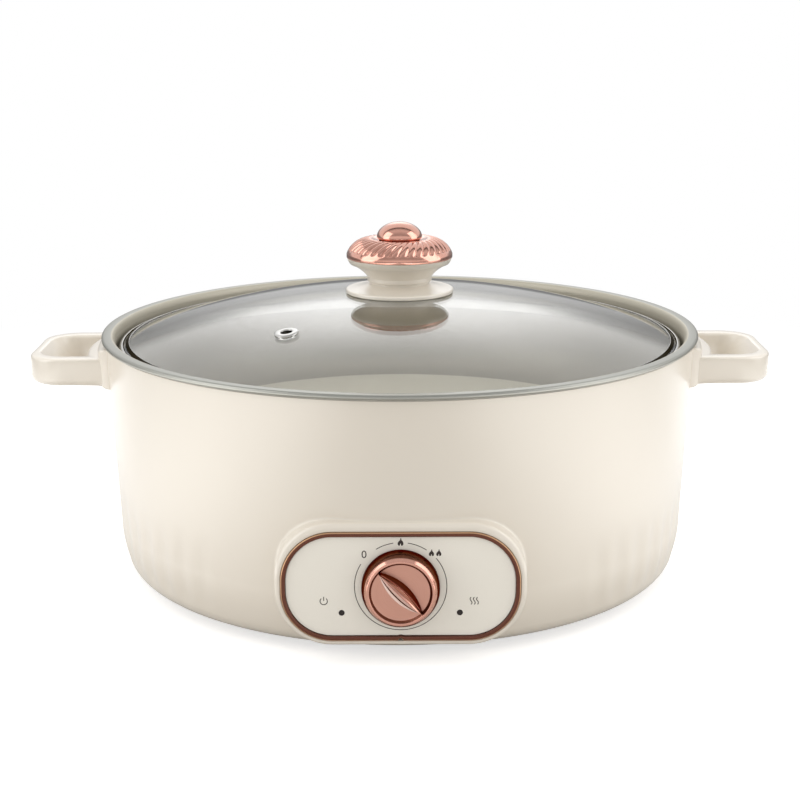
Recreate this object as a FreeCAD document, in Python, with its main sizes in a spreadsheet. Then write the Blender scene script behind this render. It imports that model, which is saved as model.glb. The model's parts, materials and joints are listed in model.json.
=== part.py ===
"""Electric hot pot: a round cooker with a lift-off glass lid, two loop handles and a rotary control.

Millimetres, +Z up, the table at Z = 0, the pot's axis on Z, the control panel towards -Y.
"""
import FreeCAD
import Part
import Sketcher
import math
import os
from types import SimpleNamespace

SIZES = {
    # Clearances
    "fit_gap": 0.3,
    "running_gap": 0.05,
    # Outer shell: a bowl with a leaning wall and a two-arc lower corner
    "foot_height": 5.0,
    "shell_height": 124.2,
    "shell_top_radius": 157.9,
    "shell_lean": 4.4,
    "shell_wall": 2.5,
    "belly_curve": 75.0,
    "corner_curve": 10.6,
    "corner_lean": 16.4,
    # Base cover and what holds it
    "cover_margin": 9.28,
    "cover_thickness": 2.5,
    "cover_overlap": 9.0,
    "cover_boss_radius": 8.5,
    "cover_boss_height": 2.5,
    "vent_slot_inner": 38.0,
    "vent_slot_outer": 72.0,
    "vent_slot_width": 4.0,
    "foot_inset": 17.0,
    "foot_radius": 10.0,
    "foot_stem_radius": 3.0,
    "foot_barb_radius": 4.2,
    "foot_stem_rise": 3.5,
    "post_inset": 31.0,
    "post_lower_radius": 5.5,
    "post_upper_radius": 3.6,
    "base_screw_radius": 2.0,
    "base_screw_length": 14.0,
    "base_screw_head_radius": 4.0,
    "base_screw_head_height": 2.4,
    # Inner pot
    "gasket_thickness": 0.8,
    "gasket_inset": 0.4,
    "rim_overhang": 2.1,
    "rim_thickness": 2.5,
    "rim_edge": 1.4,
    "pot_gap": 0.8,
    "pot_wall": 1.8,
    "pot_floor": 3.0,
    "pot_floor_rise": 66.5,
    "pot_corner": 26.0,
    "ledge_depth": 11.0,
    "ledge_width": 4.6,
    # Heater, reflector, thermostat and fuse
    "heater_inset": 15.0,
    "heater_tube_radius": 3.75,
    "heater_bend": 12.0,
    "heater_gap_angle": 15.0,
    "heater_leg_inset": 38.0,
    "bead_radius": 3.6,
    "bead_length": 9.0,
    "heater_pin_radius": 1.2,
    "heater_pin_length": 12.0,
    "reflector_inset": 30.0,
    "reflector_thickness": 0.6,
    "reflector_drop": 19.5,
    "reflector_rim": 5.0,
    "thermostat_radius": 8.0,
    "thermostat_height": 6.5,
    "bracket_width": 14.0,
    "bracket_span": 44.0,
    "bracket_top": 24.0,
    "bracket_thickness": 0.8,
    "fuse_radius": 2.5,
    "fuse_length": 16.0,
    "fuse_place": 48.0,
    "fuse_clip_width": 8.0,
    "fuse_clip_span": 22.0,
    "fuse_clip_top": 8.0,
    # Handles
    "handle_length": 39.4,
    "handle_half_width": 36.0,
    "handle_drop": 7.4,
    "handle_thickness": 14.5,
    "handle_corner": 19.0,
    "handle_top_edge": 1.3,
    "handle_low_edge": 3.0,
    "handle_side_wall": 9.5,
    "handle_end_wall_top": 4.2,
    "handle_end_wall_low": 16.5,
    "grip_start": 7.1,
    "grip_bulge": 3.5,
    "grip_corner_top": 14.0,
    "grip_corner_low": 5.0,
    "root_plate_thickness": 4.5,
    "root_plate_side": 1.5,
    "root_plate_under": 1.4,
    "root_plate_over": 5.2,
    "handle_screw_angle": 8.0,
    "handle_screw_radius": 2.0,
    "handle_screw_length": 12.0,
    "handle_screw_head_radius": 3.5,
    "handle_screw_head_height": 1.6,
    "backing_half_width": 30.0,
    "backing_height": 8.0,
    "backing_thickness": 1.0,
    # Control panel; forward distances are from the pot's axis
    "panel_height": 40.6,
    "panel_proud": 5.0,
    "boss_side_lip": 3.1,
    "boss_top_lip": 4.4,
    "boss_low_lip": 2.7,
    "boss_corner_step": 3.0,
    "boss_bury": 3.74,
    "boss_bevel": 1.6,
    "trim_length": 111.6,
    "trim_height": 53.0,
    "trim_end_flat": 5.0,
    "trim_width": 2.3,
    "trim_proud": 0.4,
    "trim_notch_radius": 2.6,
    "fascia_recess": 0.8,
    "fascia_thickness": 1.6,
    "carrier_thickness": 3.0,
    "carrier_ledge": 4.3,
    "hook_width": 8.0,
    "hook_thickness": 1.8,
    "hook_barb": 1.2,
    "lens_radius": 1.4,
    "lens_flange_radius": 2.4,
    "lens_flange": 1.2,
    "lens_spacing": 55.2,
    "lens_drop": 13.0,
    "tower_side": 8.4,
    "tower_depth": 9.0,
    "lamp_radius": 1.5,
    "board_length": 16.0,
    "board_height": 10.0,
    "board_thickness": 1.6,
    # Rotary switch and dial
    "switch_side": 28.0,
    "switch_depth": 20.0,
    "switch_corner": 4.0,
    "bushing_radius": 4.75,
    "bushing_length": 5.6,
    "nut_across_flats": 14.0,
    "nut_thickness": 2.2,
    "shaft_radius": 3.0,
    "shaft_inside": 12.0,
    "shaft_outside": 6.2,
    "tab_length": 8.0,
    "tab_width": 6.3,
    "tab_thickness": 0.8,
    "tab_spacing": 9.0,
    "dial_radius": 18.3,
    "dial_front_radius": 15.8,
    "dial_height": 10.0,
    "dial_skirt": 2.2,
    "dial_rim": 1.6,
    "dial_recess": 1.6,
    "dial_wall": 2.0,
    "dial_hub_radius": 5.2,
    "dial_hub_start": 2.2,
    "ring_spring_thickness": 0.6,
    "ring_spring_width": 2.6,
    "grip_bite": 0.1,
    "grip_width": 8.6,
    "grip_rise": 7.6,
    "grip_end_rise": 3.6,
    "off_angle": 135.0,
    # Rear power inlet
    "inlet_height": 40.6,
    "inlet_proud": 18.5,
    "housing_length": 56.0,
    "housing_height": 36.0,
    "housing_corner": 8.0,
    "socket_length": 28.0,
    "socket_height": 20.5,
    "socket_corner": 2.0,
    "socket_depth": 26.0,
    "socket_flange_length": 50.0,
    "socket_flange_height": 27.0,
    "socket_flange": 3.0,
    "socket_side_wall": 1.7,
    "socket_top_wall": 1.85,
    "recess_depth": 17.0,
    "pin_thickness": 2.0,
    "pin_width": 4.0,
    "pin_reach": 14.0,
    "pin_spacing": 14.0,
    "pin_offset": 2.0,
    "pin_tail": 9.0,
    "inlet_screw_spacing": 40.0,
    "inlet_screw_radius": 1.5,
    "inlet_screw_head_radius": 2.8,
    "inlet_screw_head_height": 1.5,
    "inlet_nut_across_flats": 5.5,
    "inlet_nut_thickness": 2.4,
    # Internal leads, and the place where one of them passes the reflector
    "lead_radius": 1.3,
    "lead_sweep": 37.0,
    "lead_level": 26.0,
    "lead_hole_x": 48.0,
    "lead_hole_y": -53.5,
    "lead_hole_radius": 4.0,
    # Lid
    "band_play": 1.8,
    "band_thickness": 0.8,
    "band_lip": 5.5,
    "band_skirt": 5.0,
    "glass_thickness": 4.0,
    "glass_hole_radius": 4.5,
    "dome_radius": 455.0,
    "vent_circle": 90.3,
    "vent_azimuth": 231.0,
    "vent_flange_radius": 6.2,
    "vent_tube_radius": 4.2,
    "vent_hole_radius": 2.9,
    "vent_flange": 0.9,
    # Lid knob
    "knob_gasket_radius": 11.0,
    "knob_gasket_thickness": 0.8,
    "knob_screw_radius": 2.5,
    "knob_screw_head_radius": 5.0,
    "knob_screw_head_height": 2.6,
    "knob_washer_radius": 9.0,
    "knob_washer_thickness": 1.2,
    "knob_insert_radius": 4.0,
    "knob_insert_length": 10.0,
    "knob_base_radius": 29.0,
    "knob_base_edge": 2.0,
    "knob_base_height": 4.4,
    "knob_neck_radius": 16.5,
    "knob_flare_curve": 26.0,
    "knob_waist_radius": 17.4,
    "knob_waist_height": 3.6,
    "knob_cup_height": 13.8,
    "knob_cup_radius": 28.2,
    "knob_cup_curve": 20.0,
    "knob_shoulder_step": 1.6,
    "knob_shoulder_drop": 3.2,
    "knob_shoulder_curve": 6.0,
    "knob_cap_radius": 28.5,
    "knob_cap_height": 9.4,
    "knob_cap_top_radius": 12.0,
    "knob_cap_curve": 12.4,
    "knob_cap_wall": 1.4,
    "knob_button_radius": 12.2,
    "knob_button_edge": 1.0,
    "knob_button_rise": 9.6,
}

doc = FreeCAD.newDocument("HotPot")
sheet = doc.addObject("Spreadsheet::Sheet", "Sizes")
for row, (word, number) in enumerate(SIZES.items(), start=1):
    sheet.set(f"A{row}", str(number))
    sheet.setAlias(f"A{row}", word)
doc.recompute()


class Term:
    """A length or angle with its value and the formula that the document works it out by."""

    def __init__(self, text, value):
        self.text = text
        self.value = value

    def __add__(self, other):
        return Term(f"({self.text} + {formula(other)})", self.value + amount(other))

    def __radd__(self, other):
        return Term(f"({formula(other)} + {self.text})", amount(other) + self.value)

    def __sub__(self, other):
        return Term(f"({self.text} - {formula(other)})", self.value - amount(other))

    def __rsub__(self, other):
        return Term(f"({formula(other)} - {self.text})", amount(other) - self.value)

    def __mul__(self, other):
        return Term(f"({self.text} * {formula(other)})", self.value * amount(other))

    def __rmul__(self, other):
        return Term(f"({formula(other)} * {self.text})", amount(other) * self.value)

    def __truediv__(self, other):
        return Term(f"({self.text} / {formula(other)})", self.value / amount(other))

    def __neg__(self):
        return Term(f"(0 - {self.text})", -self.value)


def formula(term):
    return term.text if isinstance(term, Term) else f"({float(term)})"


def amount(term):
    return term.value if isinstance(term, Term) else float(term)


def root(term):
    return Term(f"sqrt({term.text})", math.sqrt(term.value))


def sine(degrees):
    return Term(f"sin({formula(degrees)})", math.sin(math.radians(amount(degrees))))


def cosine(degrees):
    return Term(f"cos({formula(degrees)})", math.cos(math.radians(amount(degrees))))


size = SimpleNamespace(**{word: Term(f"Sizes.{word}", number) for word, number in SIZES.items()})


# Sketches and solids

FRONT = FreeCAD.Rotation(FreeCAD.Vector(1, 0, 0), 90)
BACK = FreeCAD.Rotation(FreeCAD.Vector(1, 0, 0), -90)
OUTWARDS = FreeCAD.Rotation(FreeCAD.Vector(0, 1, 0), 90)
UP = FreeCAD.Rotation()

# Each arc of a lead takes this share of the shorter of its two runs
BEND_SHARE = 0.45
# A swept lead's volume may differ this much from its section times its length
SWEEP_TOLERANCE = 0.02


def spin(degrees):
    """A turn about the upright axis."""
    return FreeCAD.Rotation(FreeCAD.Vector(0, 0, 1), degrees)


def bind(thing, name, term):
    """Tie one property of an object to its formula."""
    thing.setExpression(name, formula(term))


def place(piece, x=0, y=0, z=0, turn=UP):
    """Stand a piece at a place worked out by formulas, with a fixed turn."""
    piece.Placement = FreeCAD.Placement(FreeCAD.Vector(amount(x), amount(y), amount(z)), turn)
    for axis, term in zip("xyz", (x, y, z)):
        if isinstance(term, Term):
            bind(piece, f"Placement.Base.{axis}", term)
    return piece


def left(across, up, radius):
    """A corner reached by an arc that turns left."""
    return (across, up, radius, 1)


def right(across, up, radius):
    """A corner reached by an arc that turns right."""
    return (across, up, radius, -1)


def hold(sketch, geometry, point, across, up):
    """Fix one point of a sketch at a place worked out by formulas."""
    for kind, axis, term in (("DistanceX", -2, across), ("DistanceY", -1, up)):
        if isinstance(term, Term):
            rule = Sketcher.Constraint(kind, -1, 1, geometry, point, term.value)
            index = sketch.addConstraint(rule)
            bind(sketch, f"Constraints[{index}]", term)
        else:
            sketch.addConstraint(Sketcher.Constraint("PointOnObject", geometry, point, axis))


def arc_between(start, end, radius, turn):
    """The short arc from start to end, turning left (1) or right (-1)."""
    chord = end - start
    middle = (start + end) * 0.5
    sideways = FreeCAD.Vector(-chord.y, chord.x, 0).normalize()
    offset = math.sqrt(max(radius * radius - chord.Length * chord.Length / 4, 0.0))
    centre = middle + sideways * offset * turn
    circle = Part.Circle(centre, FreeCAD.Vector(0, 0, 1), radius)
    angles = [math.atan2(point.y - centre.y, point.x - centre.x) for point in (start, end)]
    if turn < 0:
        angles.reverse()
    return Part.ArcOfCircle(circle, angles[0], angles[1])


def draw(sketch, corners):
    """Draw a closed outline through corners, each (across, up) or made by left() or right()."""
    points = [FreeCAD.Vector(amount(c[0]), amount(c[1]), 0) for c in corners]
    edges = []
    for i, corner in enumerate(corners[1:] + corners[:1]):
        start, end = points[i], points[(i + 1) % len(points)]
        if len(corner) == 4:
            across, up, radius, turn = corner
            edge = sketch.addGeometry(arc_between(start, end, amount(radius), turn), False)
            edges.append((edge, 1, 2) if turn > 0 else (edge, 2, 1))
        else:
            edge = sketch.addGeometry(Part.LineSegment(start, end), False)
            edges.append((edge, 1, 2))
    for i, (edge, first, last) in enumerate(edges):
        following, its_first, _ = edges[(i + 1) % len(edges)]
        sketch.addConstraint(Sketcher.Constraint("Coincident", edge, last, following, its_first))
    for corner, (edge, first, last) in zip(corners, edges):
        hold(sketch, edge, first, corner[0], corner[1])
    for i, corner in enumerate(corners):
        if len(corner) == 4:
            edge = edges[i - 1][0]
            index = sketch.addConstraint(Sketcher.Constraint("Radius", edge, amount(corner[2])))
            bind(sketch, f"Constraints[{index}]", corner[2])


def draw_circle(sketch, across, up, radius):
    """Draw a circle at a place worked out by formulas."""
    centre = FreeCAD.Vector(amount(across), amount(up), 0)
    circle = Part.Circle(centre, FreeCAD.Vector(0, 0, 1), amount(radius))
    edge = sketch.addGeometry(circle, False)
    hold(sketch, edge, 3, across, up)
    index = sketch.addConstraint(Sketcher.Constraint("Radius", edge, amount(radius)))
    bind(sketch, f"Constraints[{index}]", radius)


def new_body(label):
    body = doc.addObject("PartDesign::Body", label)
    body.Label = label
    return body


def sketch_on(body, role, start=0):
    """A sketch on one of the body's own origin planes, moved along the plane's normal."""
    sketch = body.newObject("Sketcher::SketchObject", body.Name + "_sketch")
    plane = next(part for part in body.Origin.OriginFeatures if part.Role == role)
    sketch.AttachmentSupport = (plane, [""])
    sketch.MapMode = "FlatFace"
    sketch.AttachmentOffset = FreeCAD.Placement(FreeCAD.Vector(0, 0, amount(start)), UP)
    if isinstance(start, Term):
        bind(sketch, "AttachmentOffset.Base.z", start)
    return sketch


def turned(label, corners):
    """A piece turned about the upright axis, from its outline of radius and height."""
    body = new_body(label)
    sketch = sketch_on(body, "XZ_Plane")
    draw(sketch, corners)
    solid = body.newObject("PartDesign::Revolution", body.Name + "_turning")
    solid.Profile = sketch
    solid.ReferenceAxis = (sketch, ["V_Axis"])
    solid.Angle = 360
    sketch.Visibility = False
    return body


def padded(label, role, outlines, start, depth):
    """A piece of even thickness: the first outline is its edge, the others are openings in it."""
    body = new_body(label)
    sketch = sketch_on(body, role, start)
    for outline in outlines:
        if isinstance(outline, list):
            draw(sketch, outline)
        else:
            draw_circle(sketch, *outline)
    solid = body.newObject("PartDesign::Pad", body.Name + "_pad")
    solid.Profile = sketch
    bind(solid, "Length", depth)
    return body


def ring(label, inner, outer, low, high):
    """A plain ring with a rectangular section."""
    return turned(label, [(inner, low), (outer, low), (outer, high), (inner, high)])


def rounded(length, height, corner, across=0, up=0):
    """A rounded rectangle's outline, centred at a place."""
    east, west = across + length / 2, across - length / 2
    north, south = up + height / 2, up - height / 2
    return [
        left(west + corner, south, corner),
        (east - corner, south),
        left(east, south + corner, corner),
        (east, north - corner),
        left(east - corner, north, corner),
        (west + corner, north),
        left(west, north - corner, corner),
        (west, south + corner),
    ]


def rectangle(length, height, across=0, up=0):
    east, west = across + length / 2, across - length / 2
    north, south = up + height / 2, up - height / 2
    return [(west, south), (east, south), (east, north), (west, north)]


def cylinder(name, radius, length, x=0, y=0, z=0, turn=UP):
    rod = doc.addObject("Part::Cylinder", name)
    bind(rod, "Radius", radius)
    bind(rod, "Height", length)
    return place(rod, x, y, z, turn)


def joined(label, pieces):
    """Pieces that are one solid."""
    whole = doc.addObject("Part::MultiFuse", label)
    whole.Shapes = pieces
    whole.Label = label
    return whole


def cut(label, piece, tools):
    """A piece with its cuts taken out; the volume must fall."""
    tool = tools[0] if len(tools) == 1 else joined(label + "_tools", tools)
    result = doc.addObject("Part::Cut", label + "_cut")
    result.Base = piece
    result.Tool = tool
    result.Label = label
    doc.recompute()
    if result.Shape.Volume >= piece.Shape.Volume:
        raise ValueError(f"the cuts in {label} take nothing away")
    return result


def group(label, pieces):
    """Identical loose pieces that share one node."""
    together = doc.addObject("Part::Compound", label)
    together.Links = pieces
    together.Label = label
    return together


def round_the_axis(count, circle, first_angle):
    """Places on a circle, each as its angle and its x and y formulas."""
    for i in range(count):
        angle = first_angle + 360.0 * i / count
        yield angle, circle * cosine(angle), circle * sine(angle)


# Heights and radii that several pieces share

shell_bottom = size.foot_height
shell_top = shell_bottom + size.shell_height
rim_under = shell_top + size.gasket_thickness
rim_top = rim_under + size.rim_thickness
cover_top = shell_bottom + size.cover_thickness
shell_low_radius = size.shell_top_radius - size.shell_lean

corner_end = shell_bottom + size.corner_curve * (1 - sine(size.corner_lean))
belly_end = corner_end + size.belly_curve * sine(size.corner_lean)
knee_radius = shell_low_radius - size.belly_curve * (1 - cosine(size.corner_lean))
base_radius = knee_radius - size.corner_curve * cosine(size.corner_lean)
cover_radius = base_radius - size.cover_margin
foot_circle = cover_radius - size.foot_inset
post_circle = cover_radius - size.post_inset

rim_radius = size.shell_top_radius + size.rim_overhang
collar_out = size.shell_top_radius - size.shell_wall - size.pot_gap
collar_in = collar_out - size.pot_wall
ledge_up = rim_top - size.ledge_depth
pot_in = collar_in - size.ledge_width
pot_out = pot_in + size.pot_wall
floor_out = shell_bottom + size.pot_floor_rise
floor_in = floor_out + size.pot_floor
reflector_low = floor_out - size.reflector_drop
reflector_top = reflector_low + size.reflector_thickness
reflector_radius = pot_out - size.reflector_inset

panel_front = shell_low_radius + size.panel_proud
fascia_front = panel_front - size.fascia_recess
carrier_front = fascia_front - size.fascia_thickness
carrier_back = carrier_front - size.carrier_thickness

inlet_rear = shell_low_radius + size.inlet_proud
socket_inside = inlet_rear - size.socket_depth

band_radius = collar_in - size.band_play
glass_edge_radius = band_radius - size.band_thickness - size.fit_gap
glass_edge_low = ledge_up + size.band_thickness + size.running_gap
glass_edge_top = glass_edge_low + size.glass_thickness
dome_rise = root(size.dome_radius * size.dome_radius - glass_edge_radius * glass_edge_radius)
dome_centre = glass_edge_top - dome_rise
dome_top = dome_centre + size.dome_radius


def dome_height(radius, below=0):
    """The height of the glass's top face at a distance from the axis, or of a face below it."""
    return dome_centre - below + root(size.dome_radius * size.dome_radius - radius * radius)


# Outer shell with its control panel boss

inner_knee_radius = knee_radius - size.shell_wall * cosine(size.corner_lean)
inner_knee_height = corner_end + size.shell_wall * sine(size.corner_lean)


def shell_outline():
    """The bowl's wall: up the outside, over the top edge and down the inside."""
    wall = size.shell_wall
    recess_radius = cover_radius + size.fit_gap
    flange_radius = cover_radius - size.cover_overlap
    return [
        (recess_radius, shell_bottom),
        (base_radius, shell_bottom),
        left(knee_radius, corner_end, size.corner_curve),
        left(shell_low_radius, belly_end, size.belly_curve),
        (size.shell_top_radius, shell_top),
        (size.shell_top_radius - wall, shell_top),
        (shell_low_radius - wall, belly_end),
        right(inner_knee_radius, inner_knee_height, size.belly_curve - wall),
        right(base_radius, shell_bottom + wall, size.corner_curve - wall),
        (recess_radius + wall, shell_bottom + wall),
        (recess_radius + wall, cover_top + wall),
        (flange_radius, cover_top + wall),
        (flange_radius, cover_top),
        (recess_radius, cover_top),
    ]


def shell_envelope(name):
    """All the space inside the shell's outer face."""
    return turned(name, [
        (0, shell_bottom),
        (base_radius, shell_bottom),
        left(knee_radius, corner_end, size.corner_curve),
        left(shell_low_radius, belly_end, size.belly_curve),
        (size.shell_top_radius, shell_top),
        (0, shell_top),
    ])


def shell_space(name):
    """All the space inside the shell's inner face."""
    wall = size.shell_wall
    return turned(name, [
        (0, shell_bottom + wall),
        (base_radius, shell_bottom + wall),
        left(inner_knee_radius, inner_knee_height, size.corner_curve - wall),
        left(shell_low_radius - wall, belly_end, size.belly_curve - wall),
        (size.shell_top_radius - wall, shell_top),
        (0, shell_top),
    ])


trim_corner = (size.trim_height - size.trim_end_flat) / 2
boss_corner = trim_corner + size.boss_corner_step
boss_length = size.trim_length + 2 * size.boss_side_lip
boss_height = size.trim_height + size.boss_top_lip + size.boss_low_lip
boss_centre = size.panel_height + (size.boss_top_lip - size.boss_low_lip) / 2
boss_back = root(shell_low_radius * shell_low_radius
                 - boss_length * boss_length / 4) - size.boss_bury
boss_depth = panel_front - boss_back
window_length = size.trim_length + 2 * size.fit_gap
window_height = size.trim_height + 2 * size.fit_gap
window_corner = trim_corner + size.fit_gap
opening_length = window_length - 2 * size.carrier_ledge
opening_height = window_height - 2 * size.carrier_ledge
opening_corner = window_corner - size.carrier_ledge
ledge_back = carrier_back - size.shell_wall


def edges_at(shape, distance):
    """The names of a shape's edges that lie wholly in the plane at a distance towards -Y."""
    names = []
    for number, edge in enumerate(shape.Edges, start=1):
        box = edge.BoundBox
        if abs(box.YMin + distance) < 1e-4 and abs(box.YMax + distance) < 1e-4:
            names.append(f"Edge{number}")
    return names


def panel_boss():
    """The raised block round the control panel, with a bevelled front edge."""
    outline = rounded(boss_length, boss_height, boss_corner, 0, boss_centre)
    body = padded("panel_boss", "XZ_Plane", [outline], boss_back, boss_depth)
    doc.recompute()
    pad = body.Tip
    bevel = body.newObject("PartDesign::Chamfer", "panel_boss_bevel")
    bevel.Base = (pad, edges_at(pad.Shape, panel_front.value))
    bind(bevel, "Size", size.boss_bevel)
    return body


def inlet_passage(name, start, depth):
    """The rectangular way that the inlet socket's body passes through."""
    length = size.socket_length + 2 * size.fit_gap
    height = size.socket_height + 2 * size.fit_gap
    corner = size.socket_corner + size.fit_gap
    outline = rounded(length, height, corner, 0, size.inlet_height)
    return padded(name, "XZ_Plane", [outline], start, depth)


def inlet_screw_ways(name, radius, low, length):
    """Two rods along Y where the inlet's screws pass."""
    rods = []
    for side, word in ((-1, "left"), (1, "right")):
        across = side * size.inlet_screw_spacing / 2
        rods.append(cylinder(f"{name}_{word}", radius, length, across, low, size.inlet_height, BACK))
    return rods


def handle_screw_ways(name, radius, start, length, turn=0):
    """Two rods that point out from the axis where one handle's screws pass."""
    rods = []
    for side, word in ((-1, "front"), (1, "rear")):
        heading = turn + side * size.handle_screw_angle
        rod = cylinder(f"{name}_{word}_{turn}", radius, length)
        place(rod, start * cosine(heading), start * sine(heading), handle_middle,
              spin(heading.value).multiply(OUTWARDS))
        rods.append(rod)
    return rods


def shell_radius(height):
    """The shell's outer radius on its straight wall at a height."""
    slope = (size.shell_top_radius - shell_low_radius) / (shell_top - belly_end)
    return shell_low_radius + slope * (height - belly_end)


handle_reach = size.shell_top_radius + size.handle_length
handle_top = shell_top - size.handle_drop
handle_middle = handle_top - size.handle_thickness / 2
backing_low = handle_middle - size.backing_height / 2
backing_outer = shell_radius(backing_low) - size.shell_wall - size.fit_gap
backing_inner = backing_outer - size.backing_thickness
handle_screw_seat = root(backing_inner * backing_inner
                         - size.handle_screw_head_radius * size.handle_screw_head_radius)


def outer_shell():
    bowl = turned("shell_bowl", shell_outline())
    boss = cut("boss_outside", panel_boss(), [shell_space("boss_clearance")])
    window = rounded(window_length, window_height, window_corner, 0, size.panel_height)
    opening = rounded(opening_length, opening_height, opening_corner, 0, size.panel_height)
    hollow = rounded(boss_length - 2 * size.shell_wall, boss_height - 2 * size.shell_wall,
                     boss_corner - size.shell_wall, 0, boss_centre)
    boss_reach = boss_depth + size.shell_wall
    rear_start = -inlet_rear
    cuts = [
        padded("panel_window", "XZ_Plane", [window], carrier_back, boss_depth),
        padded("panel_opening", "XZ_Plane", [opening], ledge_back - boss_reach, boss_depth * 2),
        padded("panel_hollow", "XZ_Plane", [hollow], ledge_back - boss_reach, boss_reach),
        inlet_passage("shell_inlet_way", rear_start, inlet_rear - socket_inside),
    ]
    cuts += inlet_screw_ways("shell_inlet_hole", size.inlet_screw_radius + size.fit_gap,
                             socket_inside, inlet_rear - socket_inside)
    for turn in (0, 180):
        cuts += handle_screw_ways("shell_handle_hole", size.handle_screw_radius + size.fit_gap,
                                  backing_inner, size.handle_screw_length, turn)
    return cut("outer_shell", joined("shell_solid", [bowl, boss]), cuts)


# Inner pot

def inner_pot():
    """The pot: floor, wall, the ledge that the lid sits on, and the rolled rim."""
    nose = size.rim_thickness / 2
    outer_corner = size.pot_corner + size.pot_wall
    return turned("inner_pot", [
        (0, floor_out),
        (pot_out - outer_corner, floor_out),
        left(pot_out, floor_out + outer_corner, outer_corner),
        (pot_out, ledge_up - size.pot_wall),
        (collar_out, ledge_up - size.pot_wall),
        (collar_out, rim_under),
        (rim_radius - nose, rim_under),
        left(rim_radius, rim_under + nose, nose),
        left(rim_radius - nose, rim_top, nose),
        (collar_in + size.rim_edge, rim_top),
        left(collar_in, rim_top - size.rim_edge, size.rim_edge),
        (collar_in, ledge_up),
        (pot_in, ledge_up),
        (pot_in, floor_in + size.pot_corner),
        right(pot_in - size.pot_corner, floor_in, size.pot_corner),
        (0, floor_in),
    ])


def pot_gasket():
    return ring("pot_gasket", collar_out + size.fit_gap,
                size.shell_top_radius - size.gasket_inset, shell_top, rim_under)


# Base cover, feet, pillars and screws

post_bottom = cover_top + size.cover_boss_height
screw_seat = shell_bottom + size.base_screw_head_height + size.fit_gap


def base_cover():
    """The round plate that closes the bottom: screw bosses, foot holes and cooling slots."""
    body = turned("cover_plate", [
        (0, shell_bottom),
        (cover_radius, shell_bottom),
        (cover_radius, cover_top),
        (0, cover_top),
    ])
    sketch = sketch_on(body, "XY_Plane", shell_bottom)
    middle = (size.vent_slot_inner + size.vent_slot_outer) / 2
    draw(sketch, rectangle(size.vent_slot_outer - size.vent_slot_inner, size.vent_slot_width,
                           middle, 0))
    slot = body.newObject("PartDesign::Pocket", "cover_slot")
    slot.Profile = sketch
    slot.Reversed = True
    bind(slot, "Length", size.cover_thickness)
    doc.recompute()
    slots = body.newObject("PartDesign::PolarPattern", "cover_slots")
    slots.Originals = [slot]
    slots.Axis = (sketch, ["N_Axis"])
    slots.Angle = 360
    slots.Occurrences = 12
    body.Tip = slots
    doc.recompute()
    bosses, tools = [], []
    for angle, x, y in round_the_axis(4, post_circle, 0):
        bosses.append(cylinder(f"cover_boss_{angle:.0f}", size.cover_boss_radius,
                               size.cover_thickness + size.cover_boss_height, x, y, shell_bottom))
        tools.append(cylinder(f"cover_screw_way_{angle:.0f}", size.base_screw_radius + size.fit_gap,
                              size.base_screw_length, x, y, shell_bottom))
        tools.append(cylinder(f"cover_head_way_{angle:.0f}", size.base_screw_head_radius + size.fit_gap,
                              screw_seat - shell_bottom, x, y, shell_bottom))
    for angle, x, y in round_the_axis(4, foot_circle, 45):
        tools.append(cylinder(f"cover_foot_way_{angle:.0f}", size.foot_stem_radius + size.running_gap,
                              size.cover_thickness, x, y, shell_bottom))
    return cut("base_cover", joined("cover_solid", [body] + bosses), tools)


def foot(label, x, y):
    """A rubber foot with a barbed stem pushed through the cover."""
    stem, barb = size.foot_stem_radius, size.foot_barb_radius
    edge = size.foot_radius / 10
    barb_low = cover_top + size.running_gap
    stem_top = cover_top + size.foot_stem_rise
    return place(turned(label, [
        (0, 0),
        (size.foot_radius - 2 * edge, 0),
        (size.foot_radius, 2 * edge),
        (size.foot_radius - edge, shell_bottom),
        (stem, shell_bottom),
        (stem, barb_low),
        (barb, barb_low),
        (stem, stem_top),
        (0, stem_top),
    ]), x, y)


def base_posts():
    """Steel pillars from the cover's bosses to the pot's floor, with a shoulder for the reflector."""
    bore = size.base_screw_radius + size.running_gap
    bore_top = screw_seat + size.base_screw_length + size.fit_gap
    posts = []
    for angle, x, y in round_the_axis(4, post_circle, 0):
        posts.append(place(turned(f"post_{angle:.0f}", [
            (bore, post_bottom),
            (size.post_lower_radius, post_bottom),
            (size.post_lower_radius, reflector_low),
            (size.post_upper_radius, reflector_low),
            (size.post_upper_radius, floor_out),
            (0, floor_out),
            (0, bore_top),
            (bore, bore_top),
        ]), x, y))
    return group("base_posts", posts)


def base_screws():
    screws = []
    for angle, x, y in round_the_axis(4, post_circle, 0):
        low = screw_seat - size.base_screw_head_height
        screws.append(place(turned(f"base_screw_{angle:.0f}", [
            (0, low),
            (size.base_screw_head_radius, low),
            (size.base_screw_head_radius, screw_seat),
            (size.base_screw_radius, screw_seat),
            (size.base_screw_radius, screw_seat + size.base_screw_length),
            (0, screw_seat + size.base_screw_length),
        ]), x, y))
    return group("base_screws", screws)


# Heater, reflector, thermostat and fuse

heater_circle = post_circle - size.heater_inset
heater_leg_end = pot_out - size.heater_leg_inset
heater_height = floor_out - size.heater_tube_radius
bend_centre_x = (heater_circle + size.heater_bend) * sine(size.heater_gap_angle)
leg_x = bend_centre_x - size.heater_bend
leg_start = (heater_circle + size.heater_bend) * cosine(size.heater_gap_angle)


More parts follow.
